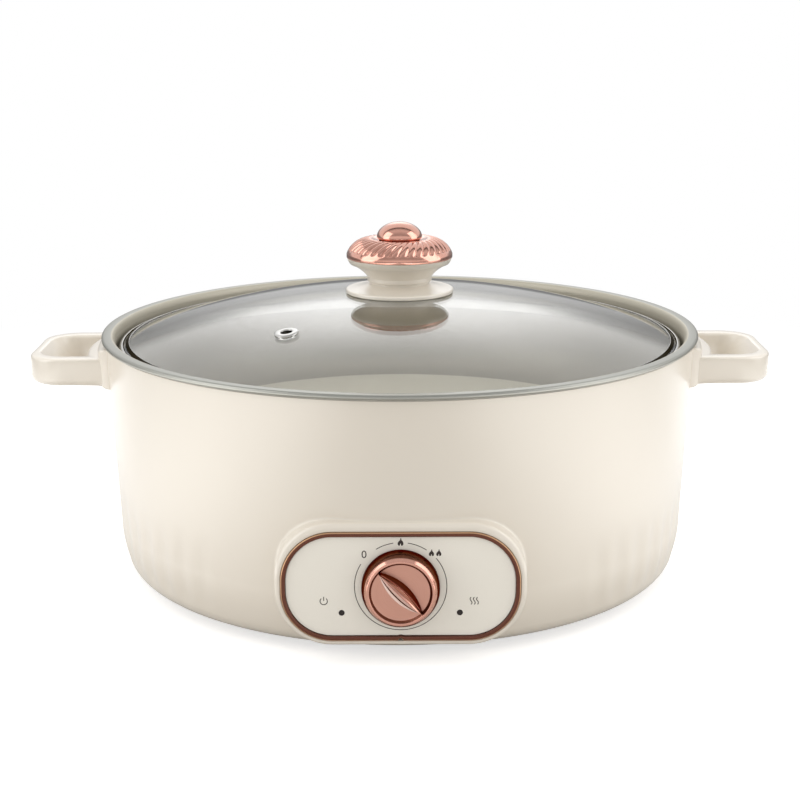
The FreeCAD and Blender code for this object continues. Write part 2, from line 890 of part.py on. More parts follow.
def heater_tube():
    """The sheathed element: a ring under the floor whose two ends bend out to the back."""
    body = new_body("heater_tube")
    path = sketch_on(body, "XY_Plane", heater_height)
    ring_x = heater_circle * sine(size.heater_gap_angle)
    ring_y = heater_circle * cosine(size.heater_gap_angle)
    top = FreeCAD.Vector(leg_x.value, heater_leg_end.value, 0)
    bend_end = FreeCAD.Vector(leg_x.value, leg_start.value, 0)
    joint = FreeCAD.Vector(ring_x.value, ring_y.value, 0)
    mirror_joint = FreeCAD.Vector(-joint.x, joint.y, 0)
    mirror_end = FreeCAD.Vector(-bend_end.x, bend_end.y, 0)
    mirror_top = FreeCAD.Vector(-top.x, top.y, 0)
    bend = size.heater_bend.value
    circle = Part.Circle(FreeCAD.Vector(0, 0, 0), FreeCAD.Vector(0, 0, 1), heater_circle.value)
    start_angle = math.atan2(mirror_joint.y, mirror_joint.x)
    end_angle = math.atan2(joint.y, joint.x) + 2 * math.pi
    edges = [
        path.addGeometry(Part.LineSegment(mirror_top, mirror_end), False),
        path.addGeometry(arc_between(mirror_end, mirror_joint, bend, -1), False),
        path.addGeometry(Part.ArcOfCircle(circle, start_angle, end_angle), False),
        path.addGeometry(arc_between(joint, bend_end, bend, -1), False),
        path.addGeometry(Part.LineSegment(bend_end, top), False),
    ]
    for one, point, two, other in ((0, 2, 1, 2), (1, 1, 2, 1), (2, 2, 3, 2), (3, 1, 4, 1)):
        path.addConstraint(Sketcher.Constraint("Coincident", edges[one], point, edges[two], other))
    hold(path, edges[0], 1, -leg_x, heater_leg_end)
    hold(path, edges[1], 2, -leg_x, leg_start)
    hold(path, edges[2], 1, -ring_x, ring_y)
    hold(path, edges[3], 2, ring_x, ring_y)
    hold(path, edges[4], 1, leg_x, leg_start)
    hold(path, edges[4], 2, leg_x, heater_leg_end)
    for edge, radius in ((1, size.heater_bend), (2, heater_circle), (3, size.heater_bend)):
        index = path.addConstraint(Sketcher.Constraint("Radius", edges[edge], radius.value))
        bind(path, f"Constraints[{index}]", radius)
    section = sketch_on(body, "XZ_Plane", -heater_leg_end)
    draw_circle(section, leg_x, heater_height, size.heater_tube_radius)
    pipe = body.newObject("PartDesign::AdditivePipe", "heater_pipe")
    pipe.Profile = section
    pipe.Spine = (path, [])
    return body


def heater_ends(label, radius, start, length):
    """A round piece at each end of the heater tube."""
    rods = []
    for side in (-1, 1):
        rods.append(cylinder(f"{label}_{side}", radius, length, side * leg_x, start, heater_height,
                             BACK))
    return rods


def heater_beads():
    bores = heater_ends("bead_bore", size.heater_pin_radius, heater_leg_end, size.bead_length)
    beads = heater_ends("bead", size.bead_radius, heater_leg_end, size.bead_length)
    return group("heater_beads", [cut(f"heater_bead_{i}", bead, [bore])
                                  for i, (bead, bore) in enumerate(zip(beads, bores))])


def heater_pins():
    length = size.bead_length + size.heater_pin_length
    return group("heater_pins", heater_ends("heater_pin", size.heater_pin_radius,
                                            heater_leg_end, length))


def heat_reflector():
    """A bright tray under the heater that keeps its heat off the leads and the cover."""
    thickness, reach = size.reflector_thickness, reflector_radius
    tray = turned("reflector_tray", [
        (0, reflector_low),
        (reach, reflector_low),
        (reach, reflector_low + size.reflector_rim),
        (reach - thickness, reflector_low + size.reflector_rim),
        (reach - thickness, reflector_top),
        (0, reflector_top),
    ])
    holes = [cylinder(f"reflector_hole_{angle:.0f}", size.post_upper_radius + size.fit_gap,
                      thickness, x, y, reflector_low)
             for angle, x, y in round_the_axis(4, post_circle, 0)]
    holes.append(cylinder("reflector_lead_way", size.lead_hole_radius, thickness,
                          size.lead_hole_x, size.lead_hole_y, reflector_low))
    return cut("heat_reflector", tray, holes)


def strap(label, span, crown, top, width, across=0):
    """A bent strap: two feet on the reflector and a raised crown, with its top at a height."""
    sheet_thickness = size.bracket_thickness
    body = padded(label, "XZ_Plane", [[
        (across - span / 2, reflector_top),
        (across - crown / 2 + sheet_thickness, reflector_top),
        (across - crown / 2 + sheet_thickness, top - sheet_thickness),
        (across + crown / 2 - sheet_thickness, top - sheet_thickness),
        (across + crown / 2 - sheet_thickness, reflector_top),
        (across + span / 2, reflector_top),
        (across + span / 2, reflector_top + sheet_thickness),
        (across + crown / 2, reflector_top + sheet_thickness),
        (across + crown / 2, top),
        (across - crown / 2, top),
        (across - crown / 2, reflector_top + sheet_thickness),
        (across - span / 2, reflector_top + sheet_thickness),
    ]], -width / 2, width)
    return body


def thermostat_body():
    low = floor_out - size.thermostat_height
    return turned("thermostat_body", [
        (0, low),
        (size.thermostat_radius, low),
        (size.thermostat_radius, floor_out),
        (0, floor_out),
    ])


def thermostat_bracket():
    return strap("thermostat_bracket", size.bracket_span, size.bracket_top,
                 floor_out - size.thermostat_height, size.bracket_width)


def thermal_fuse():
    start = -size.fuse_length / 2
    return cylinder("thermal_fuse", size.fuse_radius, size.fuse_length,
                    size.fuse_place, start, floor_out - size.fuse_radius, BACK)


def fuse_clip():
    return strap("fuse_clip", size.fuse_clip_span, size.fuse_clip_top,
                 floor_out - 2 * size.fuse_radius, size.fuse_clip_width, size.fuse_place)


# Handles

def level_edges(shape, height, beyond):
    """The names of a shape's edges that lie at a height and reach past a distance along X."""
    names = []
    for number, edge in enumerate(shape.Edges, start=1):
        box = edge.BoundBox
        if max(abs(box.ZMin - height), abs(box.ZMax - height)) < 1e-4 and box.XMax > beyond:
            names.append(f"Edge{number}")
    return names


handle_low = handle_top - size.handle_thickness
handle_root = shell_low_radius - size.root_plate_thickness


def handle_loop(label):
    """The rounded slab that the handle is cut from."""
    side, reach, corner = size.handle_half_width, handle_reach, size.handle_corner
    body = padded(label + "_loop", "XY_Plane", [[
        (handle_root, -side),
        (reach - corner, -side),
        left(reach, corner - side, corner),
        (reach, side - corner),
        left(reach - corner, side, corner),
        (handle_root, side),
    ]], handle_low, size.handle_thickness)
    for name, height, radius in (("low", handle_low, size.handle_low_edge),
                                 ("top", handle_top, size.handle_top_edge)):
        doc.recompute()
        tip = body.Tip
        names = level_edges(tip.Shape, height.value, handle_root.value + 1)
        rounding = body.newObject("PartDesign::Fillet", f"{label}_{name}_edge")
        rounding.Base = (tip, names)
        bind(rounding, "Radius", radius)
    return body


def handle_grip(label):
    """The finger opening: wide at the top, narrow below, so its outer wall is a slope."""
    body = new_body(label + "_grip")
    half = size.handle_half_width - size.handle_side_wall
    start, bulge = size.shell_top_radius + size.grip_start, size.grip_bulge
    bulge_radius = (half * half + bulge * bulge) / (2 * bulge)
    sections = []
    for height, wall, corner in (
            (handle_low, size.handle_end_wall_low, size.grip_corner_low),
            (handle_top, size.handle_end_wall_top, size.grip_corner_top)):
        outer = handle_reach - wall
        sketch = sketch_on(body, "XY_Plane", height)
        draw(sketch, [
            right(start, -half, bulge_radius),
            (outer - corner, -half),
            left(outer, corner - half, corner),
            (outer, half - corner),
            left(outer - corner, half, corner),
            (start, half),
        ])
        sections.append(sketch)
    loft = body.newObject("PartDesign::AdditiveLoft", label + "_grip_loft")
    loft.Profile = sections[0]
    loft.Sections = sections[1:]
    return body


def arc_piece(label, collar, half_width, low, height):
    """The part of a collar that lies within a width on the +X side."""
    slab = doc.addObject("Part::Box", label + "_slab")
    bind(slab, "Length", handle_reach)
    bind(slab, "Width", 2 * half_width)
    bind(slab, "Height", height)
    place(slab, 0, -half_width, low)
    piece = doc.addObject("Part::Common", label)
    piece.Base = collar
    piece.Tool = slab
    return piece


def root_plate(label):
    """The curved plate that spreads the handle's load over the shell."""
    low, top = handle_low - size.root_plate_under, handle_top + size.root_plate_over
    half_width = size.handle_half_width + size.root_plate_side
    thickness = size.root_plate_thickness
    collar = turned(label + "_collar", [
        (shell_radius(low), low),
        (shell_radius(low) + thickness, low),
        (shell_radius(top) + thickness, top),
        (shell_radius(top), top),
    ])
    return arc_piece(label + "_plate", collar, half_width, low, top - low)


def handle(label, turn):
    """A loop handle with its root plate, seated on the shell."""
    loop = cut(label + "_open", handle_loop(label), [handle_grip(label)])
    tools = [shell_envelope(label + "_seat")]
    tools += handle_screw_ways(label + "_hole", size.handle_screw_radius + size.running_gap,
                               backing_inner, size.handle_screw_length + size.fit_gap)
    solid = cut(label, joined(label + "_solid", [loop, root_plate(label)]), tools)
    solid.Placement = FreeCAD.Placement(FreeCAD.Vector(0, 0, 0), spin(turn))
    return solid


def handle_backing(label, turn):
    """A steel strip inside the shell that the handle's screws pull against."""
    height = size.backing_height
    strip = ring(label + "_ring", backing_inner, backing_outer, backing_low, backing_low + height)
    arc = arc_piece(label + "_arc", strip, size.backing_half_width, backing_low, height)
    holes = handle_screw_ways(label + "_hole", size.handle_screw_radius + size.running_gap,
                              backing_inner - height, 2 * height)
    plate = cut(label, arc, holes)
    plate.Placement = FreeCAD.Placement(FreeCAD.Vector(0, 0, 0), spin(turn))
    return plate


def handle_screws():
    screws = []
    for turn in (0, 180):
        for side in (-1, 1):
            heading = turn + side * size.handle_screw_angle
            screw = turned(f"handle_screw_{len(screws)}", [
                (0, -size.handle_screw_head_height),
                (size.handle_screw_head_radius, -size.handle_screw_head_height),
                (size.handle_screw_head_radius, 0),
                (size.handle_screw_radius, 0),
                (size.handle_screw_radius, size.handle_screw_length),
                (0, size.handle_screw_length),
            ])
            place(screw, handle_screw_seat * cosine(heading), handle_screw_seat * sine(heading),
                  handle_middle, spin(heading.value).multiply(OUTWARDS))
            screws.append(screw)
    return group("handle_screws", screws)


# Control panel

def panel_outline(inset):
    """The trim ring's outer edge, drawn smaller by an inset."""
    return rounded(size.trim_length - 2 * inset, size.trim_height - 2 * inset,
                   trim_corner - inset, 0, size.panel_height)


trim_front = panel_front + size.trim_proud
trim_low = size.panel_height - size.trim_height / 2


def notch_rod(name, radius):
    """A rod along Y at the middle of the trim's lower edge."""
    return cylinder(name, radius, 2 * boss_depth, 0, boss_depth - panel_front,
                    trim_low, FRONT)


def panel_trim():
    """The copper brown ring round the fascia, with a half-round notch at its lowest point."""
    blank = padded("trim_blank", "XZ_Plane", [panel_outline(0)], carrier_front,
                   trim_front - carrier_front)
    middle = padded("trim_middle", "XZ_Plane", [panel_outline(size.trim_width)], carrier_front,
                    trim_front - carrier_front)
    opening = cut("trim_opening", middle, [notch_rod("trim_bump", size.trim_notch_radius)])
    notch = notch_rod("trim_notch", size.trim_notch_radius / 2)
    return cut("panel_trim", blank, [opening, notch])


lens_side = size.lens_spacing / 2
lens_up = size.panel_height - size.lens_drop


def lens_ways(name, radius, low, length):
    """A rod along Y at each indicator."""
    return [cylinder(f"{name}_{word}", radius, length, side * lens_side, -low, lens_up, FRONT)
            for side, word in ((-1, "power"), (1, "heating"))]


dial_opening = size.nut_across_flats / (2 * cosine(30)) + size.fit_gap


def panel_fascia():
    """The beige plate with the dial's scale."""
    plate = padded("fascia_plate", "XZ_Plane", [panel_outline(size.trim_width + size.running_gap)],
                   carrier_front, size.fascia_thickness)
    tools = [
        notch_rod("fascia_notch", size.trim_notch_radius + size.running_gap),
        cylinder("fascia_dial_way", dial_opening, size.fascia_thickness, 0, -carrier_front,
                 size.panel_height, FRONT),
    ]
    tools += lens_ways("fascia_lens_way", size.lens_radius + size.running_gap, carrier_front,
                       size.fascia_thickness)
    return cut("panel_fascia", plate, tools)


def block(name, length, depth, height, x, y, z):
    """A rectangular block centred on x and z, from y towards +Y."""
    box = doc.addObject("Part::Box", name)
    bind(box, "Length", length)
    bind(box, "Width", depth)
    bind(box, "Height", height)
    return place(box, x - length / 2, y, z - height / 2)


def carrier_hooks():
    """Four snap hooks that reach through the opening and hold behind its ledge."""
    pieces = []
    reach = size.shell_wall + size.fit_gap + size.hook_thickness
    for side in (-1, 1):
        for rise, word in ((-1, "low"), (1, "high")):
            across = side * size.lens_spacing / 3
            edge = size.panel_height + rise * (opening_height / 2 - size.fit_gap)
            leg = block(f"hook_leg_{word}_{side}", size.hook_width, reach, size.hook_thickness,
                        across, -carrier_back, edge - rise * size.hook_thickness / 2)
            barb = block(f"hook_barb_{word}_{side}", size.hook_width, size.hook_thickness,
                         size.hook_thickness + size.hook_barb, across,
                         size.shell_wall + size.fit_gap - carrier_back,
                         edge + rise * (size.hook_barb - size.hook_thickness) / 2)
            pieces += [leg, barb]
    return pieces


def panel_carrier():
    """The plate behind the fascia: it holds the switch, the lenses and the lamp boards."""
    plate = padded("carrier_plate", "XZ_Plane", [panel_outline(0)], carrier_back,
                   size.carrier_thickness)
    towers = [block(f"carrier_tower_{side}", size.tower_side, size.tower_depth, size.tower_side,
                    side * lens_side, -carrier_back, lens_up) for side in (-1, 1)]
    tools = [cylinder("carrier_switch_way", size.bushing_radius + size.fit_gap,
                      size.carrier_thickness, 0, -carrier_back, size.panel_height, FRONT)]
    tools += lens_ways("carrier_lens_way", size.lens_radius + size.running_gap,
                       carrier_back, size.carrier_thickness)
    tools += lens_ways("carrier_lamp_way", size.lens_flange_radius + size.running_gap,
                       carrier_back - size.tower_depth, size.tower_depth)
    solid = joined("carrier_solid", [plate] + towers + carrier_hooks())
    return cut("panel_carrier", solid, tools)


def indicator_lens(label, side):
    """A dark window: a rod through the fascia with a flange behind the carrier."""
    length = fascia_front - carrier_back
    return place(turned(label, [
        (0, -size.lens_flange),
        (size.lens_flange_radius, -size.lens_flange),
        (size.lens_flange_radius, 0),
        (size.lens_radius, 0),
        (size.lens_radius, length),
        (0, length),
    ]), side * lens_side, -carrier_back, lens_up, FRONT)


tower_end = carrier_back - size.tower_depth


def indicator_lamps():
    length = size.tower_depth - size.lens_flange - size.fit_gap
    return group("indicator_lamps", lens_ways("lamp", size.lamp_radius, tower_end, length))


def lamp_boards():
    return group("lamp_boards", [
        block(f"lamp_board_{side}", size.board_length, size.board_thickness, size.board_height,
              side * lens_side, -tower_end, lens_up) for side in (-1, 1)])


# Rotary switch and dial

switch_back = carrier_back - size.switch_depth


def switch_body():
    outline = rounded(size.switch_side, size.switch_side, size.switch_corner, 0, size.panel_height)
    case = padded("switch_case", "XZ_Plane", [outline], switch_back, size.switch_depth)
    bushing = cylinder("switch_bushing", size.bushing_radius, size.bushing_length, 0,
                       -carrier_back, size.panel_height, FRONT)
    bore = cylinder("switch_bore", size.shaft_radius + size.running_gap,
                    size.shaft_inside + size.fit_gap + size.bushing_length, 0,
                    size.shaft_inside + size.fit_gap - carrier_back, size.panel_height, FRONT)
    return cut("switch_body", joined("switch_solid", [case, bushing]), [bore])


def hexagon(across_flats, across, up):
    """A nut's outline with two flats upright."""
    half = across_flats / 2
    corner = across_flats / (2 * cosine(30))
    return [
        (across, up - corner),
        (across + half, up - corner / 2),
        (across + half, up + corner / 2),
        (across, up + corner),
        (across - half, up + corner / 2),
        (across - half, up - corner / 2),
    ]


def switch_nut():
    bore = (0, size.panel_height, size.bushing_radius + size.running_gap)
    return padded("switch_nut", "XZ_Plane", [hexagon(size.nut_across_flats, 0, size.panel_height),
                                             bore], carrier_front, size.nut_thickness)


def switch_tabs():
    return group("switch_tabs", [
        block(f"switch_tab_{i}", size.tab_width, size.tab_length, size.tab_thickness,
              (i - 1) * size.tab_spacing, -switch_back, size.panel_height) for i in range(3)])


def switch_shaft():
    length = size.shaft_inside + (fascia_front - carrier_back) + size.shaft_outside
    return cylinder("switch_shaft", size.shaft_radius, length, 0,
                    size.shaft_inside - carrier_back, size.panel_height, FRONT)


dial_floor = size.dial_height - size.dial_recess
dial_under = dial_floor - size.dial_wall


def dial_knob():
    """The plated dial: a tapered ring with a sunken face and a leaf-shaped grip across it."""
    hollow = size.dial_front_radius - size.dial_rim / 2
    face = size.dial_front_radius - size.dial_rim
    bore = size.shaft_radius + size.running_gap
    cup = place(turned("dial_cup", [
        (bore, size.dial_hub_start),
        (size.dial_hub_radius, size.dial_hub_start),
        (size.dial_hub_radius, dial_under),
        (hollow, dial_under),
        (hollow, size.fit_gap),
        (size.dial_radius, size.fit_gap),
        (size.dial_radius, size.dial_skirt),
        left(size.dial_front_radius, size.dial_height, size.dial_height),
        (face, size.dial_height),
        (face, dial_floor),
        (0, dial_floor),
        (0, dial_under),
        (bore, dial_under),
    ]), 0, -fascia_front, size.panel_height, FRONT)
    half = face + size.grip_bite
    leaf_radius = (half * half + size.grip_width * size.grip_width / 4) / size.grip_width
    leaf = padded("grip_leaf", "XY_Plane", [[
        left(-half, 0, leaf_radius),
        left(half, 0, leaf_radius),
    ]], dial_floor, size.grip_rise)
    drop = size.grip_rise - size.grip_end_rise
    crown_radius = (half * half + drop * drop) / (2 * drop)
    crown = cylinder("grip_crown", crown_radius, 2 * size.grip_width, 0, size.grip_width,
                     dial_floor + size.grip_rise - crown_radius, FRONT)
    grip = doc.addObject("Part::Common", "dial_grip")
    grip.Base = leaf
    grip.Tool = crown
    place(grip, 0, -fascia_front, size.panel_height, FRONT.multiply(spin(size.off_angle.value)))
    return joined("dial_knob", [cup, grip])


def dial_spring_ring():
    """The split ring that keeps the dial's hub tight on the shaft."""
    low = size.dial_hub_start + size.ring_spring_thickness
    hub = size.dial_hub_radius
    return place(ring("dial_spring_ring", hub, hub + size.ring_spring_thickness, low,
                      low + size.ring_spring_width), 0, -fascia_front, size.panel_height, FRONT)


# Rear power inlet; lengths along +Y are negative distances towards the front

housing_rear = inlet_rear - size.socket_flange


def inlet_housing():
    """The raised block on the back that carries the socket."""
    outline = rounded(size.housing_length, size.housing_height, size.housing_corner, 0,
                      size.inlet_height)
    depth = housing_rear - socket_inside
    case = padded("housing_block", "XZ_Plane", [outline], -housing_rear, depth)
    tools = [shell_envelope("housing_seat"), inlet_passage("housing_way", -housing_rear, depth)]
    tools += inlet_screw_ways("housing_hole", size.inlet_screw_radius + size.fit_gap,
                              socket_inside, depth)
    return cut("inlet_housing", case, tools)


PIN_PLACES = ((-1, -1, "live"), (0, 1, "earth"), (1, -1, "neutral"))


def inlet_pin_blocks(name, low, length):
    """The three contact blades, live and neutral below the earth."""
    return [block(f"{name}_{word}", size.pin_thickness, length, size.pin_width,
                  side * size.pin_spacing / 2, low, size.inlet_height + rise * size.pin_offset)
            for side, rise, word in PIN_PLACES]


def inlet_socket():
    """The black three-pin appliance inlet: flange, body and open recess."""
    flange = padded("socket_plate", "XZ_Plane", [
        rounded(size.socket_flange_length, size.socket_flange_height, 2 * size.socket_corner, 0,
                size.inlet_height)], -inlet_rear, size.socket_flange)
    body = padded("socket_block", "XZ_Plane", [
        rounded(size.socket_length, size.socket_height, size.socket_corner, 0, size.inlet_height)],
        -inlet_rear, inlet_rear - socket_inside)
    recess = padded("socket_recess", "XZ_Plane", [
        rounded(size.socket_length - 2 * size.socket_side_wall,
                size.socket_height - 2 * size.socket_top_wall, size.socket_corner, 0,
                size.inlet_height)],
        -inlet_rear, size.recess_depth)
    tools = [recess] + inlet_pin_blocks("pin_way", socket_inside, size.recess_depth)
    tools += inlet_screw_ways("socket_hole", size.inlet_screw_radius + size.fit_gap,
                              socket_inside, inlet_rear - socket_inside)
    tools += inlet_screw_ways("socket_head_hole", size.inlet_screw_head_radius + size.fit_gap,
                              inlet_rear - size.inlet_screw_head_height,
                              size.inlet_screw_head_height)
    return cut("inlet_socket", joined("socket_solid", [flange, body]), tools)


def inlet_pins():
    low = socket_inside - size.pin_tail
    top = inlet_rear - size.recess_depth + size.pin_reach
    return group("inlet_pins", inlet_pin_blocks("inlet_pin", low, top - low))


inlet_wall = shell_radius(size.inlet_height) - size.shell_wall
nut_far_side = size.inlet_screw_spacing / 2 + size.inlet_nut_across_flats / 2
nut_seat = root(inlet_wall * inlet_wall - nut_far_side * nut_far_side) - size.fit_gap / 2


def inlet_screws():
    head_low = inlet_rear - size.inlet_screw_head_height
    length = head_low - nut_seat + 2 * size.inlet_nut_thickness
    screws = []
    for side, word in ((-1, "left"), (1, "right")):
        screws.append(place(turned(f"inlet_screw_{word}", [
            (0, -size.inlet_screw_head_height),
            (size.inlet_screw_head_radius, -size.inlet_screw_head_height),
            (size.inlet_screw_head_radius, 0),
            (size.inlet_screw_radius, 0),
            (size.inlet_screw_radius, length),
            (0, length),
        ]), side * size.inlet_screw_spacing / 2, head_low, size.inlet_height, FRONT))
    return group("inlet_screws", screws)


def inlet_nuts():
    nuts = []
    for side, word in ((-1, "left"), (1, "right")):
        across = side * size.inlet_screw_spacing / 2
        bore = (across, size.inlet_height, size.inlet_screw_radius + size.running_gap)
        outline = hexagon(size.inlet_nut_across_flats, across, size.inlet_height)
        nuts.append(padded(f"inlet_nut_{word}", "XZ_Plane", [outline, bore], -nut_seat,
                           size.inlet_nut_thickness))
    return group("inlet_nuts", nuts)


# Internal leads

def lead(label, places):
    """A round lead through hand-laid places, its runs joined by arcs as large as they allow."""
    points = [FreeCAD.Vector(amount(x), amount(y), amount(z)) for x, y, z in places]
    edges, radii = [], []
    start = points[0]
    for before, corner, after in zip(points, points[1:], points[2:]):
        back, ahead = before - corner, after - corner
        half_turn = (math.pi - back.getAngle(ahead)) / 2
        trim = BEND_SHARE * min(back.Length, ahead.Length)
        radius = trim / math.tan(half_turn)
        back.normalize()
        ahead.normalize()
        inwards = (back + ahead).normalize()
        nearest = corner + inwards * (radius / math.cos(half_turn) - radius)
        edges.append(Part.LineSegment(start, corner + back * trim).toShape())
        edges.append(Part.Arc(corner + back * trim, nearest, corner + ahead * trim).toShape())
        start = corner + ahead * trim
        radii.append(radius)
    edges.append(Part.LineSegment(start, points[-1]).toShape())
    path = Part.Wire(edges)
    heading = (points[1] - points[0]).normalize()
    section = Part.Wire(Part.makeCircle(size.lead_radius.value, points[0], heading))
    tube = path.makePipeShell([section], True, False)
    expected = math.pi * size.lead_radius.value ** 2 * path.Length
    if abs(tube.Volume - expected) > SWEEP_TOLERANCE * expected:
        raise ValueError(f"{label} is not a whole tube")
    print(f"{label}: {path.Length:.0f} long, smallest bend {min(radii):.1f}")
    piece = doc.addObject("Part::Feature", label)
    piece.Shape = tube
    piece.Label = label
    return piece


pin_end = socket_inside - size.pin_tail
tab_end = switch_back - size.tab_length
pin_side = size.pin_spacing / 2
low_pins = size.inlet_height - size.pin_offset
high_pin = size.inlet_height + size.pin_offset
element_end_y = heater_leg_end + size.bead_length + size.heater_pin_length - 2 * size.lead_radius
element_under = heater_height - size.heater_pin_radius
fuse_up = floor_out - size.fuse_radius
fuse_end = size.fuse_length / 2
thermostat_side = floor_out - size.thermostat_height + size.lead_radius + size.fit_gap


def leads():
    """The leads that join inlet, switch, fuse, thermostat and heater, and the earth lead."""
    post_face = post_circle + size.post_lower_radius
    hole_x, hole_y = size.lead_hole_x, size.lead_hole_y
    sweep, level = size.lead_sweep, size.lead_level
    live = [
        (-pin_side, pin_end, low_pins),
        (-pin_side, pin_end - 12, low_pins),
        (-0.6 * sweep, pin_end - 33, level + 7),
        (-0.9 * sweep, 0.7 * post_circle, level + 2),
        (-sweep, 0.24 * post_circle, level),
        (1 - sweep, -0.26 * post_circle, level + 1),
        (-0.8 * sweep, -0.68 * post_circle, level + 5),
        (-0.46 * sweep, 31 - tab_end, low_pins),
        (-size.tab_spacing, 15 - tab_end, size.panel_height),
        (-size.tab_spacing, -tab_end, size.panel_height),
    ]
    neutral = [
        (pin_side, pin_end, low_pins),
        (pin_side, pin_end - 6, low_pins),
        (leg_x - 1, element_end_y - 3, low_pins + 6),
        (leg_x, element_end_y, low_pins + 14),
        (leg_x, element_end_y, element_under),
    ]
    earth = [
        (0, pin_end, high_pin),
        (0, pin_end - 8, high_pin),
        (3, pin_end - 15, high_pin - 4),
        (0, post_face + 9, high_pin - 1),
        (0, post_face, high_pin - 1),
    ]
    switched = [
        (size.tab_spacing, -tab_end, size.panel_height),
        (size.tab_spacing, 14 - tab_end, size.panel_height),
        (0.46 * hole_x, 31 - tab_end, size.panel_height + 2.4),
        (0.8 * hole_x, hole_y - 23.5, reflector_low - 7),
        (hole_x, hole_y - 7, reflector_low - 4),
        (hole_x, hole_y + 6, reflector_top + 4),
        (hole_x, hole_y + 24, reflector_top + 6),
        (size.fuse_place, -fuse_end - 9, fuse_up),
        (size.fuse_place, -fuse_end, fuse_up),
    ]
    link = [
        (size.fuse_place, fuse_end, fuse_up),
        (size.fuse_place, fuse_end + 7, fuse_up),
        (size.fuse_place - 8, fuse_end + 13, fuse_up - 3),
        (size.fuse_place - 20, fuse_end + 6, fuse_up - 5),
        (size.thermostat_radius + 10, 0, thermostat_side),
        (size.thermostat_radius, 0, thermostat_side),
    ]
    back = [
        (-size.thermostat_radius, 0, thermostat_side),
        (-size.thermostat_radius - 10, 0, thermostat_side),
        (-size.thermostat_radius - 19, 0.12 * post_circle, fuse_up - 6),
        (-0.3 * post_circle, 0.36 * post_circle, reflector_top + 6),
        (-0.28 * post_circle, 0.62 * post_circle, reflector_top + 5.5),
        (-0.21 * post_circle, 0.9 * post_circle, reflector_top + 6),
        (-leg_x, heater_leg_end, reflector_top + 7.5),
        (-leg_x, element_end_y, reflector_top + 7.5),
        (-leg_x, element_end_y, element_under),
    ]
    return [lead("lead_live", live), lead("lead_neutral", neutral), lead("lead_earth", earth),
            lead("lead_switched", switched), lead("lead_link", link), lead("lead_return", back)]


# Lid

skirt_radius = pot_in - 2 * size.fit_gap
band_low = ledge_up + size.running_gap


def lid_glass():
    """The domed glass, with holes for the knob's screw and the steam vent."""
    hole = size.glass_hole_radius
    thickness = size.glass_thickness
    dome = turned("glass_dome", [
        (hole, dome_height(hole, thickness)),
        right(glass_edge_radius, dome_height(glass_edge_radius, thickness), size.dome_radius),
        (glass_edge_radius, dome_height(glass_edge_radius)),
        left(hole, dome_height(hole), size.dome_radius),
    ])
    way = vent_rod("glass_vent_way", size.vent_tube_radius + size.fit_gap)
    return cut("lid_glass", dome, [way])


def vent_turn():
    """The turn that lays the upright axis along the dome's normal at the vent."""
    angle = math.radians(size.vent_azimuth.value)
    lean = math.asin(size.vent_circle.value / size.dome_radius.value)
    normal = FreeCAD.Vector(math.cos(angle) * math.sin(lean), math.sin(angle) * math.sin(lean),
                            math.cos(lean))
    return FreeCAD.Rotation(FreeCAD.Vector(0, 0, 1), normal)


def vent_place(piece):
    """Set a piece on the dome at the vent."""
    return place(piece, size.vent_circle * cosine(size.vent_azimuth),
                 size.vent_circle * sine(size.vent_azimuth), dome_height(size.vent_circle),
                 vent_turn())


def vent_rod(name, radius):
    """A rod through the glass, square to the dome."""
    reach = 2 * size.glass_thickness
    return vent_place(turned(name, [(0, -reach), (radius, -reach), (radius, reach), (0, reach)]))


def vent_eyelet():
    """A steel eyelet clinched through the glass."""
    under = -size.glass_thickness
    tube, hole = size.vent_tube_radius, size.vent_hole_radius
    clinch = (size.vent_flange_radius + tube) / 2
    return vent_place(turned("vent_eyelet", [
        (hole, under - size.vent_flange),
        (clinch, under - size.vent_flange),
        (clinch, under),
        (tube, under),
        (tube, 0),
        (size.vent_flange_radius, 0),
        (size.vent_flange_radius, size.vent_flange / 2),
        (size.vent_flange_radius - size.vent_flange / 2, size.vent_flange),
        (hole, size.vent_flange),
    ]))


def lid_band():
    """The steel strip rolled round the glass: a seat on the ledge, a skirt inside, a lip on top."""
    thickness = size.band_thickness
    lip_radius = band_radius - size.band_lip
    groove = band_radius - thickness
    gap = size.running_gap
    outer_top = dome_height(glass_edge_radius) + gap + thickness
    return turned("lid_band", [
        (skirt_radius - thickness, band_low - size.band_skirt),
        (skirt_radius, band_low - size.band_skirt),
        (skirt_radius, band_low),
        (band_radius - thickness / 2, band_low),
        (band_radius, band_low + thickness / 2),
        (band_radius, outer_top - thickness / 2),
        (band_radius - thickness / 2, outer_top),
        (lip_radius, dome_height(lip_radius) + gap + thickness),
        (lip_radius, dome_height(lip_radius) + gap),
        (groove, dome_height(glass_edge_radius) + gap),
        (groove, band_low + thickness),
        (skirt_radius - thickness, band_low + thickness),
    ])


knob_seat = dome_top + size.knob_gasket_thickness
cup_low = dome_top + size.knob_base_height
cup_top = cup_low + size.knob_cup_height
insert_low = cup_top - size.knob_insert_length
screw_way = size.knob_screw_radius + size.fit_gap
washer_top = dome_height(size.knob_washer_radius, size.glass_thickness)
washer_low = washer_top - size.knob_washer_thickness


def knob_gasket():
    return ring("knob_gasket", size.glass_hole_radius, size.knob_gasket_radius, dome_top, knob_seat)


def knob_base():
    """The disc that shields the hand: thin edge, concave top, narrow neck."""
    rim_low = dome_height(size.knob_base_radius) + size.fit_gap
    return turned("knob_base", [
        (screw_way, knob_seat),
        (size.knob_gasket_radius, knob_seat),
        (size.knob_base_radius, rim_low),
        (size.knob_base_radius, rim_low + size.knob_base_edge),
        right(size.knob_neck_radius, cup_low, size.knob_flare_curve),
        (screw_way, cup_low),
    ])


